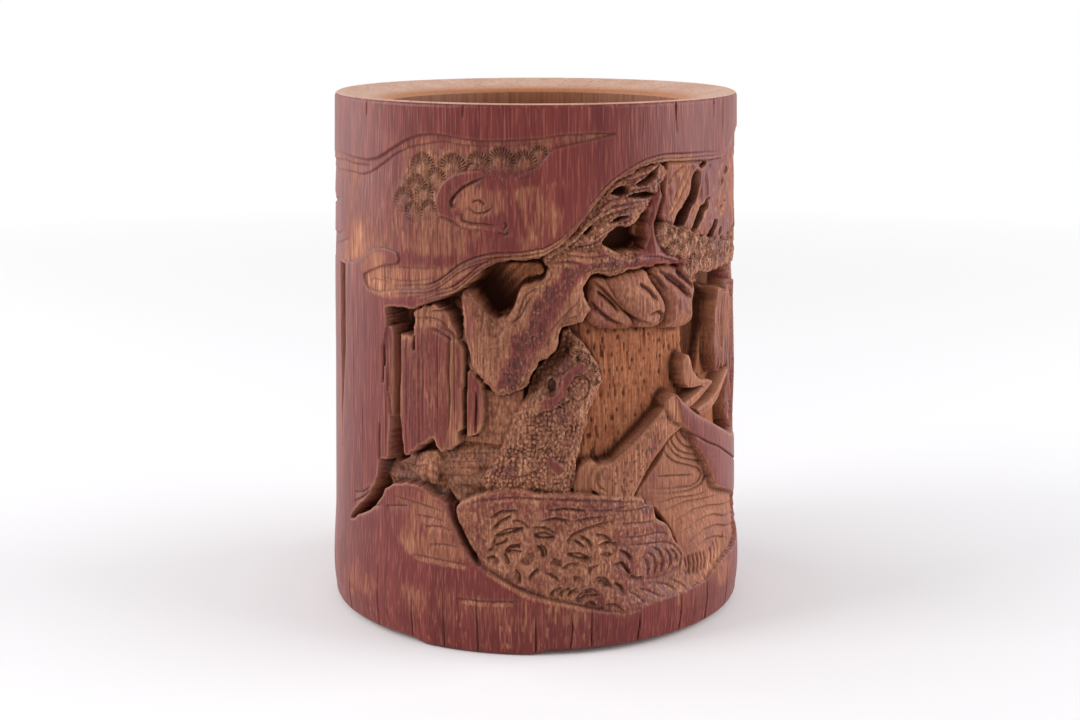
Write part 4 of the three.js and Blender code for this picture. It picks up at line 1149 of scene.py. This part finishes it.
def carve_boat(wall):
    """The boat with its upright, bars and plank."""
    wall.lift(STONE, edge=3.4, middle=2.6, bare=0.9, wall=0.6, rounding=1.6, ragged=0.2)
    wall.lift(UPRIGHT, edge=2.6, middle=1.8, bare=0.85, ragged=0.1)
    for bar in BARS:
        wall.lift(bar, edge=2.3, middle=1.8, bare=0.75, wall=0.4, rounding=0.6, roundness=SHARP)
    patch, inward, on_top = wall.lift(PLANK, edge=2.5, middle=1.5, bare=0.95, wall=0.5, rounding=1.0)
    dashes = soft_step(noise(patch, 0.5, 0.9, 111), 0.6, 0.85) * on_top * soft_step(inward, 0.8, 1.4)
    wall.add(patch, 0.2 * dashes)
    wall.darken(patch, 0.6 * dashes)
    for line in PLANK_LINES:
        wall.incise(line, width=0.22, depth=0.4, dark=0.6)
    wall.lift(BOAT, edge=1.0, middle=0.45, bare=0.24, wall=0.5, rounding=0.7, worn=0.4)
    wall.level = 0.8
    face, inside = wall.area(PROW, 0.9)
    weight = soft_step(inside, -0.2, 0.2) * soft_step(3 - wall.depth[face.where], 0, 1)
    wall.add(face, 0.5 * weight)
    wall.paint(face, weight, 0.9)
    for line in BOAT_LINES:
        wall.incise(line, width=0.22, depth=0.6, dark=0.85)


def carve_back_rocks(wall):
    """More cliff and rock in the boat's place, with the long waves' lines repeated higher up."""
    for outline, edge, middle in BACK_SLABS:
        patch, _, on_top = wall.lift(
            outline, edge, middle, bare=0.15, wall=0.4, rounding=0.5, worn=0.5,
            roundness=SHARP, ragged=0.3, grain=(1.2, 5),
        )
        wall.add(patch, 0.4 * soft_step(noise(patch, 1.2, 40, 121), 0.6, 0.8) * on_top)
    patch, _, on_top = wall.lift(
        BACK_ROCK, edge=2.4, middle=1.2, bare=0.6, wall=0.6, rounding=2.0, ragged=0.4,
    )
    wall.add(patch, 0.9 * noise(patch, 8, 1.8, 122) * on_top)
    for line in WAVE_LINES[2:5]:
        wall.fold(moved_up(line, 12), depth=0.8, reach=1.2, dark=0.5)


def carve_rock(wall):
    """The rock at the foot with its ledge lines, bamboo leaves and folds."""
    patch, _, on_top = wall.lift(
        ROCK, edge=1.3, middle=0.6, bare=0.4, wall=0.6, rounding=1.2, worn=0.4, rough=0.7,
        ragged=0.2, grain=(3, 3),
    )
    lower = 1 - soft_step(patch.up, 36, 41)
    wall.add(patch, (0.35 * lower + 0.25 * noise(patch, 2.4, 2.0, 131)) * on_top)
    wall.paint(patch, on_top * lower, 0.5 + 0.3 * noise(patch, 3, 3, 132))
    wall.folds(ROCK_LINES, depth=0.6, reach=0.9, dark=0.6, bare=0.6)
    wall.folds(SHELL_LINES, depth=0.7, reach=0.8, dark=0.55)
    wall.incise(CREVICE, width=0.7, depth=2.2, dark=0.95)
    wall.fold(ROCK_FOOT, depth=0.7, reach=0.8, dark=0.8)
    wall.folds(LEAF_LINES, depth=1.4, reach=1.2, dark=0.8, bare=0.75)
    for pit in LEAF_PITS:
        wall.sink(pit, depth=0.9, dark=0.25)
    for angle, height, length in GRASS:
        stroke = [(angle, height), (angle + 0.9, height + length / 2), (angle + 0.3, height + length)]
        wall.incise(stroke, width=0.36, depth=0.8, dark=0.6)


def carve_skin(wall):
    """The slit and the small hollow in the plain skin at the left."""
    wall.level = 0.0
    wall.cut(SLIT, SLIT_DEPTH, bare=0.8, wall=0.4, dark=0.75, roundness=SHARP)
    wall.cut(SKIN_HOLLOW, SKIN_HOLLOW_DEPTH, bare=0.6, wall=0.8, dark=0.5)


def wear_skin(wall):
    """Patches where the red skin is scraped thin."""
    for outline, bare in WORN_AREAS:
        patch, inward = wall.area(outline, 0)
        near_skin = 1 - soft_step(wall.depth[patch.where], 1.3, 2.2)
        wall.paint(patch, 0.9 * soft_step(inward, -1.5, 2.0) * near_skin, bare)


def ease_out(wall):
    """Lets the foot of the water and the rock run out into the skin."""
    whole = wall.whole()
    angle = (wall.angle(whole) + 180) % 360 - 180
    here = soft_step(angle, 16, 24) * (1 - soft_step(angle, 58, 66))
    wall.depth *= 1 - here * (1 - soft_step(whole.up, 10, 18))


def carve_side(wall, turn, with_boat):
    """One half of the landscape, turned to its side of the wall."""
    wall.turn = turn
    carve_skin(wall)
    carve_sky(wall)
    carve_ground(wall)
    carve_boulders(wall)
    carve_upper_right(wall)
    carve_water(wall)
    if with_boat:
        carve_boat(wall)
    else:
        carve_back_rocks(wall)
    carve_trunk(wall)
    carve_arm(wall)
    carve_holes(wall)
    carve_cliffs(wall)
    wear_skin(wall)
    carve_cloud_edge(wall)
    carve_rock(wall)
    wall.level = 0.0
    ease_out(wall)
    for angle, length in FOOT_CRACKS:
        wall.split(angle, -length, length, width=0.17, depth=0.9, dark=0.95)
    for angle, length in RIM_CRACKS:
        wall.split(angle, HEIGHT - length, HEIGHT + length, width=0.15, depth=0.7, dark=0.9)


def carve_all():
    """Both sides of the wall, its worn foot band and its fibres."""
    wall = Wall()
    whole = wall.whole()
    band = soft_step(whole.up, 5, 11) * (1 - soft_step(whole.up, 14, 22))
    wall.paint(whole, band, 0.32)
    dashes = soft_step(noise(whole, 0.6, 2.6, 8), 0.6, 0.9) * (1 - soft_step(whole.up, 13, 20))
    wall.paint(whole, dashes * (0.3 + 0.7 * noise(whole, 12, 4, 9)), 0.6)
    carve_side(wall, 0, True)
    carve_side(wall, 180, False)
    patchy = noise(whole, 9, 12, 5) - 0.5 + 0.6 * (noise(whole, 3, 8, 6) - 0.5)
    carved = soft_step(wall.depth, 0.3, 1.0)
    wall.bare = np.clip(wall.bare + 0.5 * patchy * soft_step(wall.bare, 0.1, 0.4), 0, 1)
    wall.depth = wall.depth + 0.14 * noise(whole, 0.6, 16, 7) * carved
    wall.depth = np.maximum(wall.depth, 0)
    return wall


def blurred(values, reach):
    """A box blur that wraps round the culm."""
    rows = np.arange(len(values))
    total = sum(np.roll(values, shift, axis=1) for shift in range(-reach, reach + 1))
    shifted = [np.clip(rows + shift, 0, len(rows) - 1) for shift in range(-reach, reach + 1)]
    return sum(total[index] for index in shifted) / (2 * reach + 1) ** 2


def outside_radii(heights):
    """The uncarved wall's radius at each height, eased over the profile's corners."""
    levels, radii = zip(*OUTSIDE)
    shifts = np.linspace(-3, 3, 13)
    return sum(np.interp(heights + shift, levels, radii) for shift in shifts) / len(shifts)


def arch(angles):
    """How far the underside is lifted between the feet."""
    near = np.min([np.abs((angles - centre + 180) % 360 - 180) for centre in FOOT_CENTRES], axis=0)
    return ARCH_HEIGHT * soft_step(near, FOOT_SPAN / 2, FOOT_SPAN / 2 + ARCH_EASE)


def wall_rows(wall):
    """(radius, height) rows of the closed profile, from the foot up, over the rim and down inside."""
    ring = np.ones(RING_STEPS)
    outside = outside_radii(wall.heights)
    rows = [(outside[i] - wall.depth[i], wall.heights[i] * ring) for i in range(HEIGHT_STEPS)]
    rim_outer = outside[-1] - EDGE
    rim_inner = MOUTH_RADIUS + EDGE
    foot_outer = outside[0] - EDGE
    inside_top = HEIGHT - RIM_FALL - EDGE
    corners = [(outside[-1] - CORNER_STEP, HEIGHT - CORNER_STEP)]
    for share in np.linspace(0, 1, RIM_ROWS - 2):
        corners.append((rim_outer + share * (rim_inner - rim_outer), HEIGHT - share * RIM_FALL))
    corners.append((MOUTH_RADIUS + CORNER_STEP, HEIGHT - RIM_FALL - CORNER_STEP))
    for share in np.linspace(0, 1, INSIDE_ROWS):
        corners.append((MOUTH_RADIUS, inside_top + share * (RABBET_TOP - inside_top)))
    corners += [(RABBET_RADIUS, RABBET_TOP), (RABBET_RADIUS, RABBET_TOP / 2), (RABBET_RADIUS, 0)]
    for share in np.linspace(0, 1, FOOT_ROWS)[1:]:
        corners.append((RABBET_RADIUS + share * (foot_outer - RABBET_RADIUS), 0))
    corners.append((outside[0] - CORNER_STEP, CORNER_STEP))
    return rows + [(radius * ring, height * ring) for radius, height in corners]


def ring_mesh(name, rows, fields):
    """A closed mesh from rows round the culm, with named vertex values on the first rows."""
    count = len(rows)
    angles = np.arange(RING_STEPS) * 360.0 / RING_STEPS
    radians = np.radians(angles)
    radius = np.array([row[0] for row in rows])
    height = np.array([row[1] for row in rows])
    height = height + arch(angles)[None, :] * np.clip(1 - height / ARCH_FADE, 0, 1)
    points = np.stack([radius * np.sin(radians), -radius * np.cos(radians), height], axis=-1) * MM
    row, column = np.meshgrid(np.arange(count), np.arange(RING_STEPS), indexing="ij")
    next_row, next_column = (row + 1) % count * RING_STEPS, (column + 1) % RING_STEPS
    row = row * RING_STEPS
    corners = np.stack([row + column, row + next_column, next_row + next_column, next_row + column], axis=-1)
    mesh = bpy.data.meshes.new(name)
    mesh.vertices.add(radius.size)
    mesh.vertices.foreach_set("co", points.ravel())
    mesh.loops.add(corners.size)
    mesh.loops.foreach_set("vertex_index", corners.ravel())
    mesh.polygons.add(radius.size)
    mesh.polygons.foreach_set("loop_start", np.arange(0, corners.size, 4))
    mesh.polygons.foreach_set("use_smooth", np.ones(radius.size, bool))
    mesh.update(calc_edges=True)
    for label, values in fields.items():
        layer = mesh.attributes.new(label, "FLOAT", "POINT")
        padded = np.zeros((count, RING_STEPS), np.float32)
        padded[: len(values)] = values
        layer.data.foreach_set("value", padded.ravel())
    return mesh


DEEP_FULL = 10.0  # the depth that counts as wholly deep
# A place is compared with its surroundings for this many cells, and this much below or above is full: places
# below get painted shade, places above a lighter ridge that is partly wear and partly painted highlight
CAVITY_REACH, CAVITY_FULL = 7, 1.8
RIDGE_REACH, RIDGE_FULL = 3, 0.8
POLISHED_SHINE = 0.32
DULL_SHINE = 0.06
OUTSIDE_SLOT, RIM_SLOT, INSIDE_SLOT, HOLLOW_SLOT = range(4)


def build_wall():
    """The carved wall as one piece, with materials for its outside, rim, inside and dull hollows."""
    wall = carve_all()
    fields = {
        "bare": wall.bare,
        "mark": np.clip(wall.mark, 0, 1),
        "deep": wall.depth / DEEP_FULL,
        # How strongly the surface is mottled with dark spots and painted glints
        "rough": wall.rough,
        # Painted shade in hollows below their surroundings
        "cavity_shade": np.clip((wall.depth - blurred(wall.depth, CAVITY_REACH)) / CAVITY_FULL, 0, 1),
        # Ridges lighter, partly as wear and partly as a painted highlight
        "ridge": np.clip((blurred(wall.depth, RIDGE_REACH) - wall.depth) / RIDGE_FULL, 0, 1),
    }
    rows = wall_rows(wall)
    mesh = ring_mesh("culm_wall_carved", rows, fields)
    slots = np.full((len(rows), RING_STEPS), OUTSIDE_SLOT, np.int32)
    slots[HEIGHT_STEPS : HEIGHT_STEPS + RIM_ROWS] = RIM_SLOT
    slots[HEIGHT_STEPS + RIM_ROWS :] = INSIDE_SLOT
    slots[-1] = OUTSIDE_SLOT
    slots[:HEIGHT_STEPS][(wall.depth > DULL_FROM) | (wall.mark > DULL_MARK)] = HOLLOW_SLOT
    mesh.polygons.foreach_set("material_index", slots.ravel())
    piece = bpy.data.objects.new("culm_wall_carved", mesh)
    bpy.context.scene.collection.objects.link(piece)
    mesh.materials.append(carved_material("carved_bamboo", POLISHED_SHINE))
    mesh.materials.append(rim_material())
    mesh.materials.append(inside_material())
    mesh.materials.append(carved_material("carved_hollows", DULL_SHINE))
    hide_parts("culm_wall")
    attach(piece, "root")


class Nodes:
    """Short calls for a material's node tree."""

    def __init__(self, name):
        self.material = bpy.data.materials.new(name)
        self.material.use_nodes = True
        self.tree = self.material.node_tree
        self.shader = self.tree.nodes["Principled BSDF"]

    def link(self, source, target):
        self.tree.links.new(source, target)

    def value(self, name):
        """A vertex value of the mesh."""
        node = self.tree.nodes.new("ShaderNodeAttribute")
        node.attribute_name = name
        return node.outputs["Fac"]

    def place(self, scale):
        """Object coordinates stretched by a scale for each axis."""
        coordinates = self.tree.nodes.new("ShaderNodeTexCoord")
        mapping = self.tree.nodes.new("ShaderNodeMapping")
        mapping.inputs["Scale"].default_value = scale
        self.link(coordinates.outputs["Object"], mapping.inputs["Vector"])
        return mapping.outputs["Vector"]

    def from_axis(self):
        """The distance from the object's upright axis."""
        node = self.tree.nodes.new("ShaderNodeVectorMath")
        node.operation = "LENGTH"
        self.link(self.place((1, 1, 0)), node.inputs[0])
        return node.outputs["Value"]

    def noise(self, scale, size, detail=3.0):
        """Noise in stretched object coordinates, spread over about 0 to 1."""
        node = self.tree.nodes.new("ShaderNodeTexNoise")
        node.inputs["Scale"].default_value = size
        node.inputs["Detail"].default_value = detail
        self.link(self.place(scale), node.inputs["Vector"])
        return self.ramp(node.outputs["Fac"], 0.28, 0.72)

    def ramp(self, source, low, high):
        """A value mapped from low..high to 0..1."""
        node = self.tree.nodes.new("ShaderNodeMapRange")
        node.inputs["From Min"].default_value = low
        node.inputs["From Max"].default_value = high
        self.link(source, node.inputs["Value"])
        return node.outputs["Result"]

    def maths(self, operation, first, second):
        """Two values combined; the second may be a number."""
        node = self.tree.nodes.new("ShaderNodeMath")
        node.operation = operation
        self.link(first, node.inputs[0])
        if isinstance(second, (int, float)):
            node.inputs[1].default_value = second
        else:
            self.link(second, node.inputs[1])
        return node.outputs["Value"]

    def mix(self, factor, first, second):
        """Two colours mixed; each is a socket or a colour."""
        node = self.tree.nodes.new("ShaderNodeMix")
        node.data_type = "RGBA"
        self.link(factor, node.inputs["Factor"])
        for socket, colour in ((node.inputs[6], first), (node.inputs[7], second)):
            if isinstance(colour, tuple):
                socket.default_value = colour
            else:
                self.link(colour, socket)
        return node.outputs[2]

    def tint(self, colour, source, share, shade):
        """A colour with a shade mixed in by a share of a value."""
        return self.mix(self.maths("MULTIPLY", source, share), colour, shade)

    def bump(self, source, strength, distance):
        """A fine bump on the shader's normal."""
        node = self.tree.nodes.new("ShaderNodeBump")
        node.inputs["Strength"].default_value = strength
        node.inputs["Distance"].default_value = distance
        self.link(source, node.inputs["Height"])
        self.link(node.outputs["Normal"], self.shader.inputs["Normal"])


FIBRE = (1.0, 1.0, 0.04)
SHORT_FIBRE = (1.0, 1.0, 0.12)


def carved_material(name, shine):
    """Burgundy skin over tan scraped fibre and brown carved wood, with painted shade in hollows and cuts,
    painted glints and ridge highlights, and the given shine.
    """
    nodes = Nodes(name)
    fibres = nodes.noise(FIBRE, 2100, 2)
    streaks = nodes.noise(SHORT_FIBRE, 1700, 2)
    bands = nodes.noise(FIBRE, 300, 3)
    clouds = nodes.noise((1, 1, 1), 45, 4)
    mottle = nodes.noise((1, 1, 0.6), 1300, 2)
    pale_lines = nodes.ramp(fibres, 0.55, 1.0)
    dark_lines = nodes.ramp(fibres, 0.5, 0.05)
    skin = nodes.mix(bands, srgb(94, 30, 27), srgb(122, 52, 46))
    skin = nodes.tint(skin, clouds, 0.35, srgb(88, 34, 36))
    skin = nodes.tint(skin, dark_lines, 0.35, srgb(70, 22, 22))
    skin = nodes.tint(skin, pale_lines, 0.5, srgb(166, 96, 78))
    tan = nodes.mix(bands, srgb(146, 86, 64), srgb(172, 112, 84))
    tan = nodes.tint(tan, dark_lines, 0.8, srgb(92, 44, 34))
    tan = nodes.tint(tan, pale_lines, 0.85, srgb(214, 158, 118))
    ground = nodes.mix(streaks, srgb(122, 68, 50), srgb(170, 108, 76))
    ground = nodes.tint(ground, pale_lines, 0.4, srgb(200, 142, 104))
    wood = nodes.mix(nodes.ramp(nodes.value("deep"), 0.1, 0.45), tan, ground)
    wood = nodes.tint(wood, clouds, 0.4, srgb(104, 60, 44))
    grain = nodes.maths("ADD", nodes.maths("MULTIPLY", streaks, 0.5), nodes.maths("MULTIPLY", fibres, 0.5))
    stain = nodes.ramp(nodes.maths("SUBTRACT", grain, nodes.value("bare")), -0.18, 0.1)
    colour = nodes.mix(stain, wood, skin)
    # Dark mottled spots, and then painted glints, as strong as the rough value
    spots = nodes.maths("MULTIPLY", nodes.ramp(mottle, 0.55, 0.1), nodes.value("rough"))
    colour = nodes.tint(colour, spots, 0.7, srgb(62, 36, 28))
    glints = nodes.maths("MULTIPLY", nodes.ramp(mottle, 0.58, 1.0), nodes.value("rough"))
    colour = nodes.tint(colour, glints, 0.6, srgb(198, 152, 122))
    # Ridges lighter, partly as wear and partly as a painted highlight
    colour = nodes.tint(colour, nodes.value("ridge"), 0.25, srgb(194, 138, 108))
    # Painted shade in hollows
    colour = nodes.tint(colour, nodes.ramp(nodes.value("cavity_shade"), 0.05, 0.8), 0.8, srgb(56, 30, 22))
    # Painted shade in the deepest hollows
    colour = nodes.mix(nodes.ramp(nodes.value("deep"), 0.68, 1.0), colour, srgb(56, 30, 18))
    # Painted shade in cuts and creases, with the wood's own dark marks
    colour = nodes.tint(colour, nodes.value("mark"), 0.8, srgb(46, 24, 17))
    nodes.link(colour, nodes.shader.inputs["Base Color"])
    rough = nodes.maths("ADD", nodes.maths("MULTIPLY", stain, -0.3), 0.7)
    nodes.link(rough, nodes.shader.inputs["Roughness"])
    nodes.shader.inputs["Specular IOR Level"].default_value = shine
    nodes.bump(fibres, 0.3, 0.0002)
    return nodes.material


def rim_material():
    """The cut end of the culm: pale, dotted with fibre bundles."""
    nodes = Nodes("rim_end_grain")
    dots = nodes.noise((1, 1, 1), 900, 2)
    grain = nodes.noise((1, 1, 1), 120, 3)
    colour = nodes.mix(grain, srgb(188, 140, 116), srgb(206, 166, 146))
    inner = nodes.ramp(nodes.from_axis(), (MOUTH_RADIUS + 5) * MM, (MOUTH_RADIUS + 1) * MM)
    colour = nodes.mix(inner, colour, srgb(180, 120, 84))
    colour = nodes.tint(colour, nodes.ramp(dots, 0.6, 0.9), 0.5, srgb(150, 96, 74))
    nodes.link(colour, nodes.shader.inputs["Base Color"])
    nodes.shader.inputs["Roughness"].default_value = 0.5
    nodes.shader.inputs["Specular IOR Level"].default_value = 0.3
    nodes.bump(dots, 0.2, 0.0001)
    return nodes.material


def inside_material():
    """The scraped inside of the culm."""
    nodes = Nodes("culm_inside")
    fibres = nodes.noise(FIBRE, 900, 3)
    patches = nodes.noise((1, 1, 1), 40, 3)
    colour = nodes.mix(fibres, srgb(118, 66, 40), srgb(160, 100, 66))
    colour = nodes.tint(colour, patches, 0.5, srgb(100, 54, 36))
    nodes.link(colour, nodes.shader.inputs["Base Color"])
    nodes.shader.inputs["Roughness"].default_value = 0.65
    nodes.bump(fibres, 0.3, 0.0002)
    return nodes.material


def plain_wood(name, dark, light, scale):
    """Simple wood with grain along X."""
    nodes = Nodes(name)
    grain = nodes.noise((0.1, 1.0, 1.0), scale, 4)
    nodes.link(nodes.mix(grain, dark, light), nodes.shader.inputs["Base Color"])
    nodes.shader.inputs["Roughness"].default_value = 0.65
    nodes.bump(grain, 0.25, 0.0002)
    return nodes.material


def dress_nodes():
    """Materials for the CAD nodes that stay."""
    looks = {
        "floor_disc": plain_wood("floor_wood", srgb(118, 76, 50), srgb(168, 118, 82), 500),
        "floor_putty_bead": plain_wood("lacquer_putty", srgb(44, 26, 20), srgb(66, 40, 30), 900),
    }
    peg = plain_wood("bamboo_peg", srgb(150, 104, 66), srgb(196, 150, 104), 1200)
    for name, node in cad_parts.items():
        if name == "culm_wall":
            continue
        node.data.materials.clear()
        node.data.materials.append(looks.get(name, peg))


FLOOR_SIZE = 40.0
FLOOR_LIT = 0.2  # the floor shows its own light and shadow within this distance of the pot
FLOOR_WHITE = 0.9  # and past this distance it shows plain white


def build_stage():
    """The pale floor, which runs out to plain white."""
    bpy.ops.mesh.primitive_plane_add(size=FLOOR_SIZE, location=(0, 0, 0))
    floor = bpy.context.object
    floor.name = "studio_floor"
    nodes = Nodes("studio_floor")
    nodes.shader.inputs["Base Color"].default_value = (0.93, 0.92, 0.94, 1)
    nodes.shader.inputs["Roughness"].default_value = 0.9
    far = nodes.ramp(nodes.from_axis(), FLOOR_LIT, FLOOR_WHITE)
    path = nodes.tree.nodes.new("ShaderNodeLightPath")
    seen = nodes.maths("MAXIMUM", path.outputs["Is Camera Ray"], path.outputs["Is Glossy Ray"])
    seen = nodes.maths("MAXIMUM", seen, path.outputs["Is Transmission Ray"])
    white = nodes.tree.nodes.new("ShaderNodeEmission")
    blend = nodes.tree.nodes.new("ShaderNodeMixShader")
    nodes.link(nodes.maths("MULTIPLY", far, seen), blend.inputs["Fac"])
    nodes.link(nodes.shader.outputs["BSDF"], blend.inputs[1])
    nodes.link(white.outputs["Emission"], blend.inputs[2])
    nodes.link(blend.outputs["Shader"], nodes.tree.nodes["Material Output"].inputs["Surface"])
    floor.data.materials.append(nodes.material)


def add_light(name, place, size, power):
    """A square soft box that looks at the middle of the pot."""
    data = bpy.data.lights.new(name, "AREA")
    data.size = size
    data.energy = power
    light = bpy.data.objects.new(name, data)
    light.location = place
    aim = Vector((0, 0, HEIGHT * MM / 2)) - Vector(place)
    light.rotation_euler = aim.to_track_quat("-Z", "Y").to_euler()
    bpy.context.scene.collection.objects.link(light)


WORLD_LIGHT = 0.5
LIGHTS = [
    # (name, place, size, power), in metres and watts
    ("left_front_box", (-0.95, -0.35, 0.6), 0.5, 6),
    ("left_side_box", (-0.95, 0.25, 0.35), 0.8, 5),
    ("right_side_box", (1.0, -0.06, 0.35), 1.0, 12),
]


def build_lights():
    """Soft studio light from both sides and a pale world, seen as white."""
    for light in LIGHTS:
        add_light(*light)
    world = bpy.data.worlds.new("studio")
    bpy.context.scene.world = world
    world.use_nodes = True
    tree = world.node_tree
    path = tree.nodes.new("ShaderNodeLightPath")
    seen = tree.nodes.new("ShaderNodeMath")
    seen.operation = "MAXIMUM"
    strength = tree.nodes.new("ShaderNodeMapRange")
    strength.inputs["To Min"].default_value = WORLD_LIGHT
    strength.inputs["To Max"].default_value = 1.0
    tree.links.new(path.outputs["Is Camera Ray"], seen.inputs[0])
    tree.links.new(path.outputs["Is Glossy Ray"], seen.inputs[1])
    tree.links.new(seen.outputs["Value"], strength.inputs["Value"])
    background = tree.nodes["Background"]
    background.inputs["Color"].default_value = (1, 1, 1, 1)
    tree.links.new(strength.outputs["Result"], background.inputs["Strength"])


CAMERA_ASIDE = 1.2
FOCAL_PIXELS = 1809.3
FRAME_WIDTH = 1080
SENSOR = 36.0


def build_camera():
    """The photograph's viewpoint: a little above the rim, tilted down."""
    data = bpy.data.cameras.new("photo_camera")
    data.sensor_width = SENSOR
    data.lens = FOCAL_PIXELS / FRAME_WIDTH * SENSOR
    camera = bpy.data.objects.new("photo_camera", data)
    camera.location = (CAMERA_ASIDE * MM, -CAMERA_DISTANCE * MM, CAMERA_HEIGHT * MM)
    camera.rotation_euler = (math.radians(90 - CAMERA_PITCH), 0, 0)
    bpy.context.scene.collection.objects.link(camera)
    bpy.context.scene.camera = camera


bpy.context.scene.view_settings.view_transform = "Standard"
build_camera()
build_lights()
build_stage()
build_wall()
dress_nodes()
